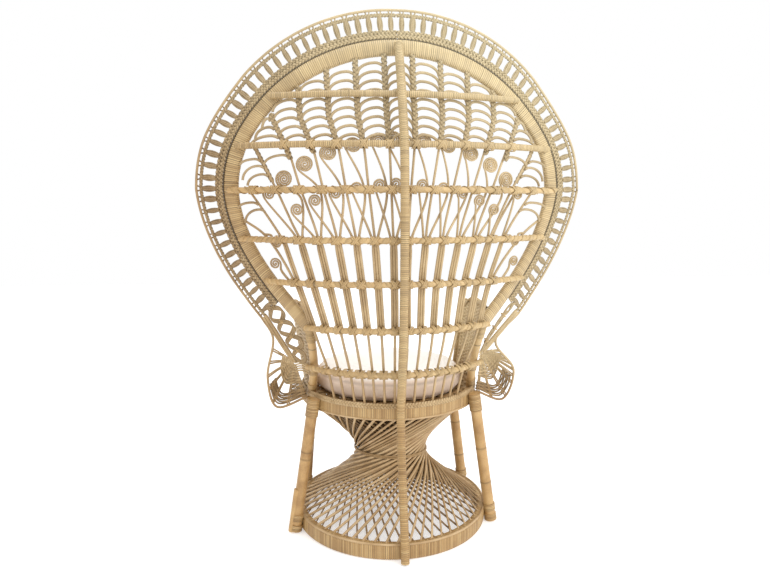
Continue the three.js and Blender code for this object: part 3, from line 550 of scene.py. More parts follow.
def plait(base, across, lift, look, phase=0.0):
    # three flat canes that pass over and under each other along a base line, with painted shade where they go
    # under
    runs = []
    for k in range(3):
        a = 2 * math.pi * (lengthsAlong(base) / look["wave"] + k / 3) + phase
        aside, over = look["reach"] * np.sin(a), look["rise"] * np.sin(2 * a)
        line = base + across * aside[:, None] + lift * over[:, None]
        runs.append(run(line, lift, rng.uniform(*look["tints"]), shade=look["paintedShade"] * (1 - np.sin(2 * a))))
    return runs


def plaited(name, runs, look, step=5.0, squareness=1.0):
    return sweep(name, runs, plaitedCane, look["cane"], look["thick"], step=step, sides=6,
                 squareness=squareness)


# Rings: wound bands, a plaited edge on the seat ring, and a thin rod round each

ring = {"thickness": 26, "pitch": 5.0, "squareness": 0.45, "groove": 0.04, "rod": 6.6,
        "rods": (("base_ring_trim", baseCentre, 292.0, 45.0), ("seat_ring_trim", seatCentre, 275.5, 369.5))}
turnAngles = np.linspace(0, 360, 180, endpoint=False)
for name, centre, size, seed in (("base", baseCentre, baseRing, 3), ("seat", seatCentre, seatRing, 4)):
    middle = (size["low"] + size["high"]) / 2
    circle = onRing(centre, size["radius"], turnAngles, 1, middle)
    outward = unit(circle - centre - [0, 0, middle])
    band = wind(f"{name}_band", [run(circle, outward, closed=True)], size["high"] - size["low"],
                ring["thickness"], ring["pitch"], sides=20, squareness=ring["squareness"],
                groove=ring["groove"], seed=seed)
    settle(band, "wrapped_cane", f"{name}_ring")

seatEdge = {"reach": 5.4, "rise": 1.6, "wave": 28, "cane": 6.6, "thick": 2.4, "radius": 275, "slope": 0.5,
            "tints": (0.8, 1.0), "paintedShade": 0.14}
edgeLine = onRing(seatCentre, seatEdge["radius"], np.linspace(0, 360, 721), 1, seatRing["high"])
edgeOut, slope = unit(edgeLine - seatCentre - [0, 0, seatRing["high"]]), seatEdge["slope"]
edgeRuns = plait(edgeLine, unit(upward - slope * edgeOut), unit(edgeOut + slope * upward), seatEdge)
settle(plaited("seat_edge_plait", edgeRuns, seatEdge, step=3.2), "woven_cane")
for name, centre, radius, z in ring["rods"]:
    rod = run(onRing(centre, radius, turnAngles, 1, z), upward, tint=0.8, closed=True)
    settle(sweep(name, [rod], thinCane, ring["rod"], step=8), "cane")
print("rings wound")


# Legs: peeled poles with nodes, wound where they are lashed to the rings

leg = {
    "radius": 16.5, "foot": 3, "top": 405, "baseRing": 309.5, "seatRing": 292.0,
    "angles": {"rear": (18.9, 35), "front": (-30.5, -36)}, "tints": {1: 0.05, -1: 0.5},
    "nodes": {"rear_left": (0.545, 0.6), "rear_right": (0.57, 0.3), "front_left": (0.44,),
              "front_right": (0.52, 0.25)},
    "sleeves": ((4, 24), (36, 56), (352, 404)), "sleeve": 38, "sleevePitch": 4.6,
    "splice": 9, "spliceTop": 132, "spliceShift": (12.5, 5, 1),
}


poleNode = {"ridge": 0.006, "line": 0.0035, "swell": 0.05, "tints": (0.5, 0.8)}


def poleRun(points, facing, nodes, tint=None):
    # swells a little at each node, with a dark line just above
    share = np.linspace(0, 1, len(points))
    ridge = sum(np.exp(-((share - at) / poleNode["ridge"])**2) for at in nodes)
    line = sum(np.exp(-((share - at - poleNode["ridge"]) / poleNode["line"])**2) for at in nodes)
    tint = rng.uniform(*poleNode["tints"]) if tint is None else tint
    return run(points, facing, tint, 1 + poleNode["swell"] * np.minimum(ridge, 1), np.minimum(line, 1))


sleeves = []
for side, sideName in sideNames.items():
    for end, (footAngle, topAngle) in leg["angles"].items():
        name = f"{end}_{sideName}"
        low = onRing(baseCentre, leg["baseRing"], footAngle, side, baseRing["high"])
        high = onRing(seatCentre, leg["seatRing"], topAngle, side, seatRing["high"])
        lean = (high - low) / (seatRing["high"] - baseRing["high"])

        def legLine(heights):
            return low + lean * (heights - baseRing["high"])[:, None]

        heights = np.linspace(leg["foot"], leg["top"], 160)
        # the left legs, on the side away from the key light, are painted darker: a painted shade
        poles = [poleRun(legLine(heights), rearward, leg["nodes"][name], leg["tints"][side])]
        if name == "rear_left":
            # a short pole beside the foot of this leg
            beside = legLine(heights[heights < leg["spliceTop"]]) + leg["spliceShift"]
            poles.append(run(beside, rearward, tint=0.6, thick=leg["splice"] / leg["radius"]))
        settle(sweep(f"leg_{name}_pole", poles, peeledPole, 2 * leg["radius"], step=2.6, sides=16),
               "rattan_pole", f"leg_{name}")
        sleeves += [run(legLine(np.linspace(*ends, 20)), rearward) for ends in leg["sleeves"]]
settle(wind("leg_sleeves", sleeves, leg["sleeve"], pitch=leg["sleevePitch"], sides=16, groove=0.06, seed=9),
       "wrapped_cane")
print("legs set")


# Base: a drum of thin canes twisted one way, an inner row twisted the other way, and the waist binding

drum = {
    "count": 54, "cane": 8.4, "low": 42, "waistHeight": 208, "high": 372, "sink": 7, "sinkReach": 0.4,
    "tilt": (3.5, 8), "binding": 113, "cord": 4.6, "cordRise": 2.2, "near": 2.2, "deepShadeTint": 0.45,
    "deepShade": 0.3, "uneven": (0.9, 1.06), "rows": (
        {"feet": baseRing["radius"], "waist": 108, "heads": seatRing["radius"], "below": 92, "above": 84,
         "shift": 0.0, "tint": (0.7, 1.0), "thick": 1.0, "swell": 0.0, "shade": 0.0},
        # the inner row is painted darker, a painted shade inside the drum
        {"feet": 273, "waist": 92, "heads": 255, "below": -84, "above": -84,
         "shift": 0.4, "tint": (0.0, 0.4), "thick": 0.7, "swell": 1.1, "shade": 0.4}),
}


def drumLine(row, start, sink):
    # from the waist out to each ring, on a drum that draws in to the waist
    halves = []
    for centre, ringRadius, ringZ, turn in ((baseCentre, row["feet"], drum["low"], -row["below"]),
                                            (seatCentre, row["heads"], drum["high"], row["above"])):
        u = np.linspace(0, 1, 10)
        steep = math.sqrt((ringRadius / row["waist"])**2 - 1)
        radius = row["waist"] * np.sqrt(1 + (steep * u)**2) - sink * np.exp(-(u / drum["sinkReach"])**2)
        angle = start + row["below"] + turn * np.arctan(steep * u) / math.atan(steep)
        z = drum["waistHeight"] + (ringZ - drum["waistHeight"]) * u
        around = onRing(baseCentre, radius, angle, 1, z) + waistCentre
        halves.append(around + (centre - waistCentre) * u[:, None])
    return np.vstack([halves[0][:0:-1], halves[1]])


drumRuns = []
for row in drum["rows"]:
    for i in range(drum["count"]):
        deeper = i % 2  # every other cane lies deeper at the waist
        line = drumLine(row, 360 * (i + row["shift"]) / drum["count"], drum["sink"] * deeper)
        near = np.exp(-np.linspace(-drum["near"], drum["near"], len(line))**2)
        # every other cane is painted darker near the waist, a painted shade where it lies deeper
        tint = rng.uniform(*row["tint"]) * (1 - drum["deepShadeTint"] * deeper * near)
        thick = row["thick"] * rng.uniform(*drum["uneven"]) * (1 + row["swell"] * near)
        shade = row["shade"] + drum["deepShade"] * deeper * near
        drumRuns.append(run(line, unit(line * [1, 1, 0]), tint, thick, shade))
settle(sweep("base_drum_canes", drumRuns, thinCane, drum["cane"], step=18, sides=7), "cane", "base_canes")
waistTurn = np.linspace(0, 360, 240, endpoint=False)
a, (tiltX, tiltY) = np.radians(waistTurn), drum["tilt"]
waistRise = drum["waistHeight"] + tiltX * np.cos(a) + tiltY * np.sin(a)
waistRuns = [
    run(onRing(waistCentre, drum["binding"], waistTurn, 1, waistRise + rise), upward, tint=0.35, closed=True)
    for rise in (-drum["cordRise"], drum["cordRise"])]
settle(sweep("waist_binding", waistRuns, plaitedCane, drum["cord"]), "woven_cane")
print("base drum set")


# Seat panel: wide split canes over and under each other

deck = {"radius": 258, "strips": 27, "height": 398, "rise": 1.5, "cane": 19.0, "thick": 2.2}
spacing = 2 * deck["radius"] / deck["strips"]
deckRuns = []
for way in (0, 1):
    for i in range(deck["strips"]):
        offset = (i + 0.5) * spacing - deck["radius"]
        reach = math.sqrt(deck["radius"]**2 - offset**2)
        line = np.linspace(-reach, reach, max(int(reach / 2.5), 4))
        over = 1 if (i + way) % 2 else -1
        lift = deck["rise"] * np.cos(math.pi * (line + deck["radius"]) / spacing) * over
        flat = np.full_like(line, offset)
        places = np.column_stack([line, flat, lift] if way else [flat, line, lift])
        deckRuns.append(run(places + seatCentre + [0, 0, deck["height"]], upward))
settle(plaited("seat_panel", deckRuns, deck, squareness=0.6), "woven_cane", "seat_deck")
print("seat panel woven")


# Spine: a wound pole behind the rails, and the hoop's wound band

spine = {"radius": 12, "pitch": 5.0, "groove": 0.09, "hoopGap": 0.3, "foot": (
    (0, 315.5, 2.6), (0, 307.8, 46), (0, 246, 250), (0, 220.3, 368), (0, 220.3, 408))}
behind = -(back["railFront"] + spine["radius"])
spineHeights = sorted({*rails, *((a + b) / 2 for a, b in zip(rails, rails[1:]))})
spineCorners = [*spine["foot"], *(onBack(0, z, behind) for z in spineHeights),
                onBack(0, hoop["top"], back["railFront"] - spine["hoopGap"] - spine["radius"])]
spineCane = wind("spine_wound", [run(smoothPath(spineCorners, 10), leftward)], 2 * spine["radius"],
                 pitch=spine["pitch"], sides=14, groove=spine["groove"], seed=21)
settle(spineCane, "wrapped_cane", "spine_post")
hoopPoints, hoopNormals = hoopFrame(np.linspace(-1, 1, 500))[:2]
hoopBand = wind("hoop_wound", [run(hoopPoints, hoopNormals)], hoop["width"], hoop["thickness"], hoop["pitch"],
                sides=20, squareness=hoop["squareness"], groove=hoop["groove"], seed=31)
settle(hoopBand, "wrapped_cane", "back_hoop")
print("spine and hoop wound")


# Rails: the upper two wound close, the lower ones peeled with a wide cane round them

rail = {"close": 5.2, "ribbons": {3: (20, 50), 4: (17, 32)}, "ribbon": (15, 27), "ribbonThick": 1.5,
        "ribbonStep": 2.2, "sunk": 1.2, "inHoop": 16, "lowestReach": 258, "nodes": (0.23, 0.52, 0.81)}
for number, z in enumerate(rails, 1):
    reach = rail["lowestReach"] if number == len(rails) else hoopReach(z) + rail["inHoop"]
    x = np.linspace(-reach, reach, 240)
    line, facing, radius = onBack(x, z), backNormal(x, z), back["railRadius"]
    if number <= 2:
        made = wind(f"rail_{number}_wound", [run(line, facing)], 2 * radius, pitch=rail["close"],
                    seed=40 + number)
    else:
        core = sweep(f"rail_{number}_core", [poleRun(line, facing, rail["nodes"])], peeledPole,
                     2 * (radius - rail["sunk"]), step=6, sides=12)
        length = lengthsAlong(line)
        fine = np.linspace(0, length[-1], int(length[-1] / rail["ribbonStep"]))
        centre, ways = between(fine, length, line), unit(between(fine, length, facing))
        over = np.cross(unit(np.gradient(centre, axis=0)), ways)
        ribbonWidth, ribbonPitch = rail["ribbons"].get(number, rail["ribbon"])
        a = (2 * math.pi * fine / ribbonPitch) * (1 if number % 2 else -1)
        radial = ways * np.cos(a)[:, None] + over * np.sin(a)[:, None]
        turns = run(centre + radial * (radius - rail["sunk"]), radial, tint=0.45)
        ribbon = sweep(f"rail_{number}_ribbon", [turns], woundCane, ribbonWidth, rail["ribbonThick"],
                       step=3.2, sides=6, squareness=0.6)
        made = merge(f"rail_{number}_wound", [core, ribbon])
    settle(made, "wrapped_cane", f"back_rail_{number}")
print("rails set")


# Posts: peeled poles from the seat ring to the ends of the hoop, wound in three places

post = {"radius": 12.5, "footAngle": 22, "footGap": 0.3, "railHalfWidth": 254, "nodes": (0.33, 0.7),
        "sleeve": 29, "sleevePitch": 4.4, "sleeves": ((0, 22), (44, 62), (112, 140))}
postLines = {}
for side, name in sideNames.items():
    foot = onRing(seatCentre, seatRing["radius"], post["footAngle"], side, seatRing["high"] + post["footGap"])
    waist = onBack(side * post["railHalfWidth"], rails[-1], back["railFront"] + post["radius"])
    postLines[side] = evenPath(smoothPath([foot, waist, hoopFrame(-side)[0]], 30), 140)
    pole = poleRun(postLines[side], leftward, post["nodes"])
    settle(sweep(f"post_{name}_pole", [pole], peeledPole, 2 * post["radius"], step=2.6, sides=14),
           "rattan_pole", f"back_post_{name}")
postSleeves = [run(line[slice(*ends)], leftward) for line in postLines.values() for ends in post["sleeves"]]
postCane = wind("post_sleeves", postSleeves, post["sleeve"], pitch=post["sleevePitch"], sides=14,
                groove=0.07, seed=51)
settle(postCane, "wrapped_cane")
print("posts set")


# Border: two plaits beside the hoop, a row of lens-shaped loops, an outer band and short ties to the rim

border = {
    "endHeight": 704, "gap": 0.3, "start": 0.0005, "plaits": ((7.6, 4.0), (20.4, 2.4)), "seam": 5.0,
    "seamDepth": 9.0, "seamAt": (-0.6, 1.0), "loops": 37, "loopFrom": 27, "loopTo": 71, "loopCane": 4.9,
    "uneven": (0.86, 1.14), "bandAt": 74.5, "rimAt": 90.3, "rimRod": 7.2, "tie": (1.5, 6.5),
    "strip": {"reach": 4.4, "rise": 1.7, "wave": 31, "cane": 6.8, "thick": 2.8, **plainPlait},
    "band": {"reach": 3.6, "rise": 1.2, "wave": 26, "cane": 6.0, "thick": 2.6, **plainPlait},
    # start, bulge, lift and shade
    "loopCanes": ((1.5, 0.6, 0.9, 0.25), (3.0, 3.4, -0.7, 0.45)),
}
borderEnd = hoopShare(border["endHeight"])
loopMiddle = (border["loopFrom"] + border["loopTo"]) / 2
halfLoop = (border["loopTo"] - border["loopFrom"]) / 2


def borderPlace(s, offset, lift=0.0):
    # offset counts outwards from the hoop's edge, lift backwards
    point, normal, outward = hoopFrame(s)
    return point + outward * (offset + (hoop["width"] / 2 + border["gap"])) + normal * lift, normal, outward


def aboutOrigin(points):
    return points - [0, baseY / mm, 0]


def loopShape():
    # four canes that swell in the middle, and two ties that spread out to the rim
    t = np.linspace(0, 1, 9)
    along = (2 * t - 1) * (halfLoop + 2)
    tie = np.linspace(halfLoop - 3, border["rimAt"] - loopMiddle, 5)
    lines = []
    for side in (1, -1):
        for start, bulge, lift, shade in border["loopCanes"]:
            x = side * (start + bulge * np.sin(math.pi * t))
            lines.append((np.column_stack([x, along, np.full_like(t, lift)]), 1.0, shade))
        x = side * np.linspace(*border["tie"], 5)
        lines.append((np.column_stack([x, tie, np.linspace(1.6, 0, 5)]), 0.9, 0.3))
    runs = [run(aboutOrigin(line), upward, rng.uniform(0.2, 0.6), thick, shade)
            for line, thick, shade in lines]
    return sweep("loop_shape", runs, thinCane, border["loopCane"], sides=6)


leafShape = loopShape()
for side, name in sideNames.items():
    s = np.linspace(border["start"], borderEnd, 420) * -side
    runs = []
    for offset, lift in border["plaits"]:
        line, normal, outward = borderPlace(s, offset, lift)
        runs += plait(line, outward, normal, border["strip"], rng.uniform(0, 6))
    # a dark cord along the hoop's edge: a painted shadow in the gap between hoop and plait
    line, normal = borderPlace(s, *border["seamAt"])[:2]
    seam = sweep("seam", [run(line, normal, tint=0.0, shade=0.85)], plaitedCane, border["seam"],
                 border["seamDepth"], step=8)
    strip = plaited("plait_strip", runs, border["strip"], step=4)
    line, normal, outward = borderPlace(s, border["bandAt"])
    band = plaited("outer_band", plait(line, outward, normal, border["band"]), border["band"], step=4)
    at = (np.arange(border["loops"]) + 0.5) / border["loops"] * borderEnd * -side
    point, normal, outward = borderPlace(at, loopMiddle)
    loops = setShapes("loops", leafShape, point, normal, np.cross(outward, normal),
                      unevenSizes(*border["uneven"], len(at)), thinCane)
    settle(merge(f"border_{name}", [strip, seam, band, loops]), "cane", f"border_lace_{name}")
drop(leafShape)


# Rim: a rod round the border that runs on beside the wing's tail, then down round the wing

wing = {"widest": (374, 60, 463), "foot": (350, 30, 362), "footAngle": 24, "ringAt": (290.3, 278.3),
        "ringZ": 394, "root": {1: (40, 502), -1: (10, 526)}, "forward": 0.8, "leave": {1: 0.42, -1: 0.72},
        "beside": 9, "besidePost": 15.8, "postSteps": (110, 0, -12)}
innerLines, roots, rods = {}, {}, {}
for side in sideNames:
    upper = [borderPlace(-side * share, 2.0)[0] for share in (borderEnd, (1 + borderEnd) / 2)]
    lower = postLines[side][slice(*wing["postSteps"])] + [side * wing["besidePost"], 0, 0]
    line = smoothPath([*upper, *lower], 6)
    out, z = wing["root"][side]
    innerLines[side] = line[line[:, 2] > z]
    roots[side] = innerLines[side][-1] + [side * out, -out * wing["forward"], 0]
    top = borderPlace(-side * borderEnd, border["rimAt"])[0]
    leave = top + (roots[side] - top) * wing["leave"][side] + [side * wing["beside"], 0, 0]
    turns = [np.array(wing[label]) * [side, 1, 1] for label in ("widest", "foot")]
    ends = [onRing(seatCentre, radius, wing["footAngle"], side, wing["ringZ"]) for radius in wing["ringAt"]]
    rods[side] = smoothPath([top, leave, *turns, *ends], 12)
fanRim, rimNormal = borderPlace(np.linspace(-borderEnd, borderEnd, 500), border["rimAt"])[:2]
rimLine = np.vstack([rods[1][:0:-1], fanRim, rods[-1][1:]])
rimFacing = np.vstack([np.tile(rearward, (len(rods[1]) - 1, 1)), rimNormal,
                       np.tile(rearward, (len(rods[-1]) - 1, 1))])
rimRod = sweep("rim_rod", [run(rimLine, rimFacing, tint=0.35)], thinCane, border["rimRod"], step=8, sides=10)
settle(rimRod, "cane", "outer_rim")
print("border and rim set")


# Spindles: three canes side by side, which part above the fourth rail and wind up in scrolls

spindle = {
    "perSide": 7, "spread": 7.0, "cane": 7.2, "columns": 5, "leave": 24, "lap": 26, "split": 0.94,
    "scroll": 0.76, "taper": 0.9, "eye": 0.9, "footZ": 405, "stemZ": 565, "parted": 40, "lowLayer": 0.05,
    "below": 12, "inHoop": 6, "thinning": 50, "widen": 1.01, "bendDrop": 2.2,
    "pitchAt": ((408, 629, 874, 1007, 1125, 1205, 1300, hoop["top"]),
                (27.5, 38, 50, 60.5, 68.5, 77, 78.5, 79)),
    "largeRadius": 23, "largeTurns": 3.8, "largeRise": 23, "largeArch": 4.4, "largeShift": -0.13,
    "smallRadius": 16.5, "smallTurns": 2.6, "smallRise": 15, "smallArch": 2.75, "lastDrop": 12,
    "middleShift": 0.28, "meet": 0.7, "bend": 0.81, "lastTurn": (375, 880), "lastEnd": 924,
    "closer": (8, 2.4), "closerAt": ((600, 720, 890, 1000, 1100), (0, 1, 1, 0.8, 0)),
}
splitZ, crossZ, crownZ, bundleZ = rails[3], rails[2], rails[1], rails[5]
partedZ = splitZ + spindle["parted"]


def pitchAt(z):
    return np.interp(z, *spindle["pitchAt"])


def acrossAt(position, z):
    # the bars on the right stand closer to the spine
    least, growth = spindle["closer"]
    shift = (least - growth * position) * np.interp(z, *spindle["closerAt"]) if position < 0 else 0
    return position * pitchAt(z) + shift


def scrollPlaces(centre, radius, turns, layer, start=-spindle["meet"], way=1):
    count = int(turns * 18)
    share = np.linspace(0, 1, count + 1)
    r = spindle["eye"] + (radius - spindle["eye"]) * (1 - share)
    a = start + way * share * turns * 2 * math.pi
    layers = np.full(count + 1, float(layer))
    return np.column_stack([centre[0] + r * np.cos(a), centre[1] + r * np.sin(a), layers])


def backRun(places, tint=None, thick=1.0, shade=0.0):
    x, z, layer = np.asarray(places, float).T
    line = onBack(x, z, back["caneForward"] + layer * back["caneLayer"])
    return run(line, backNormal(x, z), tint, thick, shade)


def strand(corners, scroll=None, tint=None):
    # corners: across, up and layer; a cane is thinner above the split, and tapers on in its scroll
    if scroll is None:
        places = smoothPath(corners, 8)
    else:
        places = smoothPath([*corners, scroll[0], scroll[2]], 8)[:-9]
    thick = np.interp(places[:, 1], [splitZ, splitZ + spindle["thinning"]], [1, spindle["split"]])
    if scroll is not None:
        taper = np.linspace(spindle["scroll"], spindle["scroll"] * spindle["taper"], len(scroll))
        thick[-10:] = np.linspace(thick[-10], taper[0], 10)
        places, thick = np.vstack([places, scroll]), np.concatenate([thick, taper])
    return backRun(places, tint, thick)


def spot(position, z, layer=0.0, offset=0.0):
    return acrossAt(position, z) + offset, z, layer


def barFoot(position, offset):
    leaveZ = splitZ - back["railRadius"] - spindle["leave"]
    heights = (bundleZ - spindle["below"], bundleZ, rails[4], leaveZ, splitZ)
    return [spot(position, z, spindle["lowLayer"], offset) for z in heights]


def spindleRuns(position, side, number):
    last = number == spindle["perSide"]
    footX = acrossAt(position, seatRing["high"])
    foot = [footX, seatCentre[1] + math.sqrt(seatRing["radius"]**2 - footX**2), spindle["footZ"]]
    stem = [onBack(acrossAt(position, z), z, back["caneForward"])
            for z in (rails[6], spindle["stemZ"], bundleZ, bundleZ + spindle["parted"])]
    runs = [run(smoothPath([foot, *stem], 8), rearward, tint=0.45)]
    # the middle cane goes up to a column of the crown, or towards the hoop
    lean = side * (number > spindle["columns"])
    up = [spot(position + share * lean, z, 1) for z, share in (
        (partedZ, 0.1), (crossZ, 0.1), (crownZ, 0.3), (crownZ + spindle["lap"], 0.3))]
    if last:
        up = [spot(position + 0.15 * side, partedZ, 1), spot(position + 0.4 * side, crossZ, 1)]
    elif number > spindle["columns"]:
        up = up[:3]
    runs.append(strand([*barFoot(position, 0), *up], tint=0.5))
    left, right = (barFoot(position, way * spindle["spread"]) for way in (1, -1))
    turn, end = spindle["lastTurn"], spindle["lastEnd"]
    toHoop = [(side * turn[0], turn[1], 1), (side * (hoopReach(end) + spindle["inHoop"]), end, 1)]
    # the left cane leans over to a small scroll, the outermost one to the hoop
    j = abs(position + 0.5)
    if last and side > 0:
        runs.append(strand([*left[:3], *toHoop], tint=0.4))
    else:
        rise = -spindle["lastDrop"] if j == 6 else spindle["smallRise"] - spindle["smallArch"] * j * j
        x = acrossAt(position + 0.5 + spindle["middleShift"] * (j == 0), crossZ + rise)
        scroll = scrollPlaces((x, crossZ + rise), spindle["smallRadius"], spindle["smallTurns"], 0)
        runs.append(strand(left, scroll, tint=0.35))
    # the right cane leans over as far as the next rail, then back to a large scroll
    j = abs(position - 0.5)
    if last:
        return runs + [strand(right if side > 0 else [*right[:3], *toHoop], tint=0.45)]
    if j > spindle["columns"]:
        up = [spot(position + share * side, z, 2) for z, share in ((partedZ, 0.33), (crossZ, 0.5))]
        return runs + [strand([*right, *up], tint=0.5)]
    z = crownZ + spindle["largeRise"] - spindle["largeArch"] * j * j
    outward = side * (j * spindle["widen"]**j + spindle["largeShift"])
    x = acrossAt(outward if j else spindle["middleShift"], z)
    bendZ = min(crossZ, z - spindle["bendDrop"] * spindle["largeRadius"])
    bend = spot(position - spindle["bend"], bendZ, 2)
    scroll = scrollPlaces((x, z), spindle["largeRadius"], spindle["largeTurns"], 2)
    return runs + [strand([*right, bend], scroll, tint=0.65)]


for side, name in sideNames.items():
    for number in range(1, spindle["perSide"] + 1):
        runs = spindleRuns(side * (number - 0.5), side, number)
        settle(sweep(f"spindle_{name}_{number}_canes", runs, thinCane, spindle["cane"], step=4),
               "cane", f"spindle_{name}_{number}")
print("spindles set")


# Side scrolls and half arches beside the hoop

sideScroll = {
    "inset": 52, "shift": 44, "rise": -10, "drop": 62, "radii": (13.5, 16.0), "turns": 2.4, "footDrop": 9,
    "tail": ((376, 884), (358, 881)), "cane": 7.0, "apex": 0.74, "innerDrop": 6, "layer": 0.4, "sunk": 5,
    "arches": ((1092, 0, 16, 5.75), (1073, 12, 38, 5.71), (1050, 30, 30, 5.67), (972, 0, 17, 6.75),
               (953, 16, 37, 6.6)),
    "between": (5.55, 4.5, 1101, 28),
}


def halfArch(outerX, innerX, z, outerDrop, piece):
    # a low outer foot, the highest point near the inner end
    a, on, apex = np.linspace(0, math.pi / 2, 10), np.linspace(0, 1, 5)[1:], piece["apex"]
    share = np.concatenate([apex * (1 - np.cos(a)), apex + (1 - apex) * on])
    fall = np.concatenate([outerDrop * (1 - np.sin(a)), piece["innerDrop"] * on**2])
    layers = np.full(len(share), piece["layer"])
    return np.column_stack([outerX + (innerX - outerX) * share, z - fall, layers])


def archRun(arch, side=1):
    return backRun(arch * [side, 1, 1], rng.uniform(0.35, 0.8), shade=0.25)


for side, name in sideNames.items():
    footZ = rails[4] - sideScroll["footDrop"]
    runs = []
    for step, radius in enumerate(sideScroll["radii"]):
        z = splitZ + sideScroll["rise"] - step * sideScroll["drop"]
        footX, x = (hoopReach(height) + hoop["width"] / 2 - sideScroll["inset"] for height in (footZ, z))
        x = side * (x - (1 - step) * sideScroll["shift"])
        start = 0 if (side > 0) == (step == 0) else math.pi
        scroll = scrollPlaces((x, z), radius, sideScroll["turns"], step, start, -side)
        corners = [(side * (footX - radius), footZ, 0), (x - side * radius, z - radius, step)]
        if step == 0:
            corners = [(side * tailX, tailZ, 1) for tailX, tailZ in sideScroll["tail"]]
        runs.append(strand(corners, scroll, tint=0.4))
    arches = [(hoopReach(z) - inset + sideScroll["sunk"], side * acrossAt(side * position, z), z, fall)
              for z, inset, fall, position in sideScroll["arches"]]
    outer, inner, z, fall = sideScroll["between"]
    arches.append((outer * pitchAt(z), inner * pitchAt(z), z, fall))
    runs += [archRun(halfArch(*arch, sideScroll), side) for arch in arches]
    settle(sweep(f"side_canes_{name}", runs, thinCane, sideScroll["cane"], step=4),
           "cane", f"side_scroll_{name}")


# Crown: plaited columns and rows of half arches between them, highest towards the middle

column = {**plainPlait, "reach": 5.4, "rise": 1.8, "wave": 40, "cane": 8.2, "thick": 3.2,
          "tints": (0.1, 0.45)}
crown = {"column": 17, "sideReach": 3.6, "foot": 6, "footFall": 0.33, "leastRise": 40, "sideFoot": 22,
         "firstRise": 31, "spacing": 24.5, "apex": 0.72, "outerDrop": 31, "innerDrop": 7, "margin": 2,
         "layer": 0.3, "arch": 8.8, "archDepth": 5.6, "inColumn": 0.3, "inHoop": 4, "least": 20}


def columnPlait(x, z, layer, look):
    line = onBack(x, z, back["caneForward"] + layer * back["caneLayer"])
    return plait(line, backAcross(x, z), backNormal(x, z), look, rng.uniform(0, 6))


columnRuns, scaleRuns = [], []
for position in np.arange(-spindle["columns"] + 0.5, spindle["columns"]):
    top = float(hoopInside(abs(position) * pitchAt(hoop["top"]) + crown["column"] / 2)) + crown["inHoop"]
    foot = crownZ - crown["foot"] - crown["footFall"] * abs(position)**3
    z = np.linspace(foot, max(top, crownZ + crown["leastRise"]), 60)
    columnRuns += columnPlait(position * pitchAt(z), z, 0, column)
for side in sideNames:
    # outermost columns, below the second rail
    z = np.linspace(crossZ + crown["sideFoot"], crownZ, 30)
    share = np.interp(z, [crossZ, crownZ], [0.1, 0.3])
    x = acrossAt(side * (spindle["columns"] + 0.5), z) + side * share * pitchAt(z)
    columnRuns += columnPlait(x, z, 1, {**column, "reach": crown["sideReach"]})
for gap in range(spindle["columns"] + 1):
    z = crownZ + crown["firstRise"]
    while True:
        outerX, innerX = ((gap + end) * float(pitchAt(z)) - 2 * end * crown["column"] * crown["inColumn"]
                          for end in (0.5, -0.5))
        if gap == spindle["columns"]:
            outerX = float(np.interp(-z, -hoopEdge[:, 1], hoopEdge[:, 0])) + crown["inHoop"]
        highest = outerX + (innerX - outerX) * crown["apex"]
        if z > hoopInside(highest) - crown["margin"] or outerX < innerX + crown["least"]:
            break
        if gap == 0:
            a = np.linspace(0, math.pi, 17)
            fall = crown["outerDrop"] * (1 - np.sin(a))
            arch = np.column_stack([outerX * np.cos(a), z - fall, np.full_like(a, crown["layer"])])
            scaleRuns.append(archRun(arch))
        else:
            arch = halfArch(outerX, innerX, z, crown["outerDrop"], crown)
            scaleRuns += [archRun(arch, side) for side in sideNames]
        z += crown["spacing"]
columns = plaited("crown_columns", columnRuns, column, step=4)
scales = sweep("crown_arches", scaleRuns, thinCane, crown["arch"], crown["archDepth"])
settle(merge("crown_canes", [columns, scales]), "cane", "crown_scales")
print("crown set")


# Lashings where the canes cross the rails

lash = {"reach": 11.4, "forward": 3.0, "depth": 13.6, "slant": 8.5, "gap": 5.4, "cane": 5.2, "thick": 1.9,
        "fromHoop": 12, "uneven": (0.85, 1.15)}
lashRuns = []
a = np.linspace(0, 2 * math.pi, 14, endpoint=False)
for way in (1, -1):
    for shift in (-0.5, 0.5):
        line = np.column_stack([
            way * lash["slant"] * np.cos(a) + shift * lash["gap"], lash["reach"] * np.cos(a),
            lash["depth"] * np.sin(a) - lash["forward"] + 0.5 * way])
        lashRuns.append(run(aboutOrigin(line), np.column_stack([0 * a, np.cos(a), np.sin(a)]), closed=True))
lashShape = sweep("cross_lash", lashRuns, woundCane, lash["cane"], lash["thick"], step=6, sides=6)
spots = []
for number, z in enumerate(rails[1:], 2):
    bars = spindle["columns"] if number == 2 else spindle["perSide"]
    reach = post["railHalfWidth"] if number == len(rails) else hoopReach(z) - lash["fromHoop"]
    across = [acrossAt(position, z) for position in np.arange(0.5 - bars, bars)]
    spots += [(x, z) for x in across if abs(x) < reach]
x, z = np.array(spots, float).T
railLashes = setShapes("rail_lashings", lashShape, onBack(x, z), backNormal(x, z), backAcross(x, z),
                       unevenSizes(*lash["uneven"], len(spots)), woundCane)
settle(railLashes, "wrapped_cane")
print("lashings set")


# Arms: a wound rail over a close-woven panel

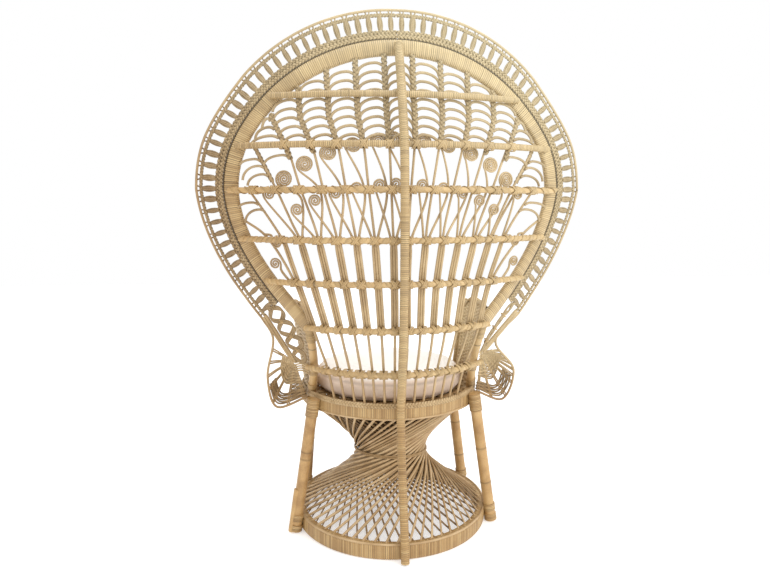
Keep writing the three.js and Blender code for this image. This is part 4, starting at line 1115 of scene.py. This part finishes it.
arm = {"height": 655, "foot": 409, "low": 265, "high": 301, "bend": (24, 12, -4, -16), "front": -24,
       "turnDown": (0.18, 0.55, 1), "panelRear": 18, "railRadius": 9, "stakes": 13, "rows": 42, "weave": 1.6,
       "cane": 7.4, "thick": 2.6, "gusset": 2, "gap": 3}
for side, name in sideNames.items():
    inFront = hoop["forward"] + hoop["thickness"] / 2 + arm["railRadius"]
    start = hoopFrame(-side * hoopShare(arm["height"]), inFront)[0]
    corners = [start, *(onRing(seatCentre, arm["high"], a, side, arm["height"]) for a in arm["bend"])]
    for share in arm["turnDown"]:
        radius = arm["high"] + (arm["low"] - arm["high"]) * share
        z = arm["height"] - share * (arm["height"] - arm["foot"])
        corners.append(onRing(seatCentre, radius, arm["front"], side, z))
    made = wind(f"arm_{name}_rail", [run(smoothPath(corners, 16), [0, 0.6, 0.8])], 2 * arm["railRadius"],
                pitch=5, groove=0.09, seed=70 + side)
    settle(made, "wrapped_cane", f"arm_rail_{name}")
    rearLine = np.vstack([postLines[side] - [0, post["radius"] + arm["gap"], 0], start])

    def armPlace(u, v, lift):
        # u runs from the panel's rear edge to the front; below 0 it is on a gusset that reaches to the post
        z = arm["foot"] + (arm["height"] - arm["foot"] - arm["gap"]) * v
        angle = arm["panelRear"] + (arm["front"] - arm["panelRear"]) * np.maximum(u, 0)
        place = onRing(seatCentre, arm["low"] + (arm["high"] - arm["low"]) * v + lift, angle, side, z)
        rear = between(z, rearLine[:, 2], rearLine)
        rear[..., 0] += side * lift
        return place + (rear - place) * np.clip(-u * arm["stakes"] / arm["gusset"], 0, 1)[..., None]

    runs = []
    for k in range(-arm["gusset"], arm["stakes"] + 1):
        line = armPlace(np.full(24, k / arm["stakes"]), np.linspace(0, 1, 24), 0.0)
        runs.append(run(line, levelOut(line), tint=0.6))
    u = np.linspace(-arm["gusset"] / arm["stakes"], 1, 6 * (arm["stakes"] + arm["gusset"]) + 1)
    for row in range(arm["rows"]):
        lift = arm["weave"] * np.cos(math.pi * arm["stakes"] * u) * (1 if row % 2 else -1)
        line = armPlace(u, np.full_like(u, (row + 0.5) / arm["rows"]), lift)
        # the rows are painted pale, a painted light on a panel that lies in the fan's shade
        runs.append(run(line, levelOut(line), rng.uniform(0.85, 1.25)))
    settle(plaited(f"arm_{name}_weave", runs, arm), "woven_cane", f"arm_panel_{name}")
print("arms woven")


# Wings: two tail canes from the border to the post, a lattice beside them, and a net out to the rim

net = {
    "cane": 5.0, "thick": 3.6, "depth": 36, "gap": 0.018, "rod": (15, 57), "weave": 2.0, "bridges": 5,
    "bridge": 6.5, "tail": 10.0, "tailAt": (72, 82), "tailGap": 8, "diamonds": 4, "phase": 0.14,
    "strands": (0, 0.03, 0.06), "swing": {1: 0.36, -1: 0.1}, "knots": (14, 29, 44), "knot": 0.6,
    "strutReach": (0.04, 0.985), "narrow": 0.4, "bridgeRise": (0, 2, 7), "lift": 1.5,
    "shade": 0.25,
    "struts": {1: (0.03, 0.16, 0.3, 0.44, 0.6, 0.78, 0.96),
               -1: (0.03, 0.1, 0.17, 0.24, 0.31, 0.38, 0.46, 0.62, 0.8, 0.97)},
    # low, high and count of rows, where along the rod they start, and tints
    "patches": {1: ((0.08, 0.52, 13, 0.0, (0.5, 1.0)), (0.74, 0.93, 6, 0.4, (0.05, 0.4)),
                    (0.5, 0.74, 6, 0.8, (0.1, 0.5))),
                -1: ((0.08, 0.6, 14, 0.0, (0.6, 1.0)), (0.74, 0.93, 6, 0.4, (0.05, 0.4)))},
}


def netPlace(root, rod, r, phi, lift=0.0):
    # r runs from the root to the rod, phi along the rod
    r, phi = np.broadcast_arrays(np.asarray(r, float), np.asarray(phi, float))
    end = between(phi * (len(rod) - 1), np.arange(len(rod)), rod)
    point = root + (end - root) * r[:, None]
    point[:, 1] += lift - net["depth"] * np.sin(math.pi * r) * np.sin(math.pi * phi)
    return point


knots = []
for side, name in sideNames.items():
    root, rod, struts = roots[side], evenPath(rods[side][slice(*net["rod"])], 100), net["struts"][side]
    runs = []
    r = np.linspace(*net["strutReach"], 24)
    for phi in struts:
        runs += [run(netPlace(root, rod, r, phi + shift * (1 - net["narrow"] * r)), rearward, tint=0.5)
                 for shift in (-net["gap"], net["gap"])]
    for low, high, count, first, tints in net["patches"][side]:
        phi = np.linspace(first, 1, 61)
        over = np.cos(math.pi * np.interp(phi, struts, np.arange(len(struts))))
        for share in np.linspace(low, high, count):
            over = -over
            line = netPlace(root, rod, share, phi, net["weave"] * over)
            # painted shade where a row goes under a strut
            shade = net["shade"] - net["shade"] * over
            runs.append(run(line, rearward, rng.uniform(*tints), thick=1.15, shade=shade))
    inner = innerLines[side]
    for k in range(net["bridges"]):
        a, b = (end + [0, 0, -k * net["bridge"]] for end in (root, inner[-1]))
        bridge = smoothPath([a, (a + b) / 2 + net["bridgeRise"], b], 8)
        runs.append(run(bridge, rearward, rng.uniform(0.5, 1.0)))
    t = np.linspace(0, 1, 60)
    inner = evenPath(inner, len(t))
    tails = []
    for offset, shift in zip(net["tailAt"], (-0.5, 0.5)):
        start, end = borderPlace(-side * borderEnd, offset)[0], root + [side * shift * net["tailGap"], 0, 0]
        tails.append(start + (end - start) * t[:, None])
        runs.append(run(tails[-1], rearward, tint=0.55, thick=net["tail"] / net["cane"]))
    # the lattice hangs from the last loop of the border
    lastLoop = borderPlace(-side * borderEnd * (1 - 0.5 / border["loops"]), loopMiddle)[0]
    for way in (1, -1):
        for shift in net["strands"]:
            turn = math.pi * net["diamonds"] * (t - net["phase"] + shift)
            u = 0.5 + net["swing"][side] * way * np.cos(turn)
            line = np.vstack([lastLoop, inner + (tails[0] - inner) * u[:, None]]) + [0, net["lift"] * way, 0]
            runs.append(run(line, rearward, tint=0.15, thick=1.2, shade=0.1))
    knots += [(inner[i] + tails[0][i]) / 2 for i in net["knots"]]
    settle(plaited(f"arm_{name}_wing", runs, net), "woven_cane", f"arm_wing_{name}")
knotFacing, knotAlong, knotSizes = (np.tile(way, (len(knots), 1)) for way in (rearward, leftward, np.ones(3)))
wingKnots = setShapes("wing_knots", lashShape, knots, knotFacing, knotAlong, knotSizes, woundCane,
                      net["knot"])
settle(wingKnots, "woven_cane")
drop(lashShape)
print("wings netted")


# Cushion: a loose round pad with a boxed edge, in metres

cushion = {
    "shrink": 0.006, "crown": 0.012, "edge": 0.02, "floorGap": 0.001, "turns": 96, "voxel": 0.005,
    "pressure": 4.0, "frames": 20, "cap": 0.008, "seamUp": 0.008, "seamDown": 0.006, "seamDepth": 0.0022,
    "seamWidth": 0.0035, "seamReach": 0.02, "litTopRamp": 0.008,
    "deep": (0.76, 0.6, 0.48), "pale": (0.82, 0.67, 0.55), "paintedLightColour": (0.98, 0.95, 0.91),
    "grain": (0.9, 1.02), "bump": (0.3, 0.0005), "seamShade": 0.3,
}
cushionLow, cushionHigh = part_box("seat_cushion")
padCentre = np.array([(cushionLow.x + cushionHigh.x) / 2, (cushionLow.y + cushionHigh.y) / 2])
padRadius = (cushionHigh.x - cushionLow.x) / 2 - cushion["shrink"]
padLow, padHigh = cushionLow.z + cushion["floorGap"], cushionHigh.z - cushion["shrink"]
padShoulder = padHigh - cushion["crown"]


def cushionMaterial():
    material, tree, place = startMaterial("cushion_cotton")
    wave = {"Vector": place, "Scale": 260.0, "Distortion": 0.6, "Detail": 1.0}
    threads = [nodeOut(tree, "ShaderNodeTexWave", wave, "Fac", bands_direction=axis) for axis in "XYZ"]
    weave = mathNode(tree, "ADD", mathNode(tree, "ADD", threads[0], threads[1]), threads[2])
    colour = rampNode(tree, noise(tree, place, 9.0, 4.0), {0.3: cushion["deep"], 0.7: cushion["pale"]})
    grain = mapRange(tree, weave, (0, len(threads)), cushion["grain"])
    # the top attribute mixes in the colour of painted light: a painted highlight on the upper side
    dress(tree, colour, cushion["paintedLightColour"], attribute(tree, "top"), cushion["seamShade"], grain, weave,
          cushion["bump"], {"Roughness": 0.85, "Sheen Weight": 0.25})
    return material


def cushionShape():
    edge, rise, turns = cushion["edge"], cushion["crown"], cushion["turns"]
    a, flat = np.linspace(0, math.pi / 2, 7), np.linspace(0.04, padRadius - edge, 10)
    profile = [(r, padLow) for r in flat]
    profile += [(padRadius - edge * (1 - math.sin(t)), padLow + edge * (1 - math.cos(t))) for t in a[1:]]
    profile += [(padRadius - edge * (1 - math.cos(t)), padShoulder - edge * (1 - math.sin(t))) for t in a]
    profile += [(r, padShoulder + rise * (1 - (r / (padRadius - edge))**2)) for r in flat[-2::-1]]
    way = 2 * math.pi * np.arange(turns) / turns
    x, y = padCentre
    verts = [(x + r * math.cos(t), y + r * math.sin(t), z) for r, z in profile for t in way]
    around = [(k, (k + 1) % turns) for k in range(turns)]
    rows = range(0, len(verts), turns)
    faces = [(i + k, i + n, i + turns + n, i + turns + k) for i in rows[:-1] for k, n in around]
    faces += [(n, k, len(verts)) for k, n in around]
    faces += [(rows[-1] + k, rows[-1] + n, len(verts) + 1) for k, n in around]
    return putMesh("cushion_pad", [*verts, (*padCentre, padLow), (*padCentre, padHigh)], [], faces)


def padSpots():
    return np.array([v.co[:] for v in pad.data.vertices])


pad = cushionShape()
remesh = pad.modifiers.new("even", "REMESH")
remesh.mode, remesh.voxel_size = "VOXEL", cushion["voxel"]
freeze(pad)
start = padSpots()
cloth = pad.modifiers.new("fill", "CLOTH")
cloth.settings.use_pressure = True
cloth.settings.uniform_pressure_force = cushion["pressure"]
cloth.settings.effector_weights.gravity = 0
for step in range(1, cushion["frames"] + 1):
    scene.frame_set(step)
freeze(pad)
scene.frame_set(1)
move = padSpots() - start
far = np.linalg.norm(move, axis=1, keepdims=True)
spots = start + move * np.minimum(1, cushion["cap"] / np.maximum(far, 1e-9))
spots[:, 2] = np.clip(spots[:, 2], cushionLow.z, cushionHigh.z)
fromMiddle = spots[:, :2] - padCentre
radial = np.linalg.norm(fromMiddle, axis=1, keepdims=True)
seam = np.zeros(len(spots))
for seamZ in (padLow + cushion["seamUp"], padShoulder - cushion["seamDown"]):
    near = np.exp(-((spots[:, 2] - seamZ) / cushion["seamWidth"])**2)
    seam = np.maximum(seam, near * (radial[:, 0] > padRadius - cushion["seamReach"]))
spots[:, :2] -= fromMiddle / np.maximum(radial, 1e-6) * (seam * cushion["seamDepth"])[:, None]
pad.data.vertices.foreach_set("co", spots.ravel())
top = np.clip((spots[:, 2] - padShoulder) / cushion["litTopRamp"], 0, 1)  # the side that lies up is painted paler, a painted highlight
# the seams are also painted darker through the shade attribute: a painted shade in their creases
for label, values in (("shade", seam), ("top", top)):
    pad.data.attributes.new(label, "FLOAT", "POINT").data.foreach_set("value", values.astype(np.float32))
rounder = pad.modifiers.new("rounder", "SUBSURF")
rounder.levels = rounder.render_levels = 1
freeze(pad)
pad.data.polygons.foreach_set("use_smooth", [True] * len(pad.data.polygons))
pad.data.materials.append(cushionMaterial())
settle(pad, "cushion_fabric", "seat_cushion", body=cushionBody)
print("cushion filled")


# Floor and soft studio light

studio = {
    "floor": {"Base Color": (0.8, 0.8, 0.8, 1), "Roughness": 0.8, "Emission Color": (1, 1, 1, 1),
              "Emission Strength": 0.4},
    "world": {"Color": (1, 1, 1, 1), "Strength": 1.0}, "aim": (0, 0, 0.75),
    "lights": (("key", (-1.9, 1.9, 2.0), 1.6, 36), ("fill", (2.2, 1.8, 1.3), 2.0, 4),
               ("overhead", (0, -0.3, 3.2), 2.4, 40)),
}
scene.view_settings.view_transform = "Standard"
floor = putMesh("floor", [(-6, -6, 0), (6, -6, 0), (6, 6, 0), (-6, 6, 0)], [], [(0, 1, 2, 3)])
floorPaint = bpy.data.materials.new("pale_floor")
scene.world = bpy.data.worlds.new("studio")
for owner, shader, inputs in ((floorPaint, "Principled BSDF", studio["floor"]),
                              (scene.world, "Background", studio["world"])):
    owner.use_nodes = True
    fill(owner.node_tree, owner.node_tree.nodes[shader], inputs)
floor.data.materials.append(floorPaint)
for label, place, size, power in studio["lights"]:
    lamp = putIn(label, bpy.data.lights.new(label, "AREA"))
    lamp.data.energy, lamp.data.size = power, size
    lamp.location = place
    turnTo(lamp, Vector(studio["aim"]) - Vector(place))

print("pieces finished")
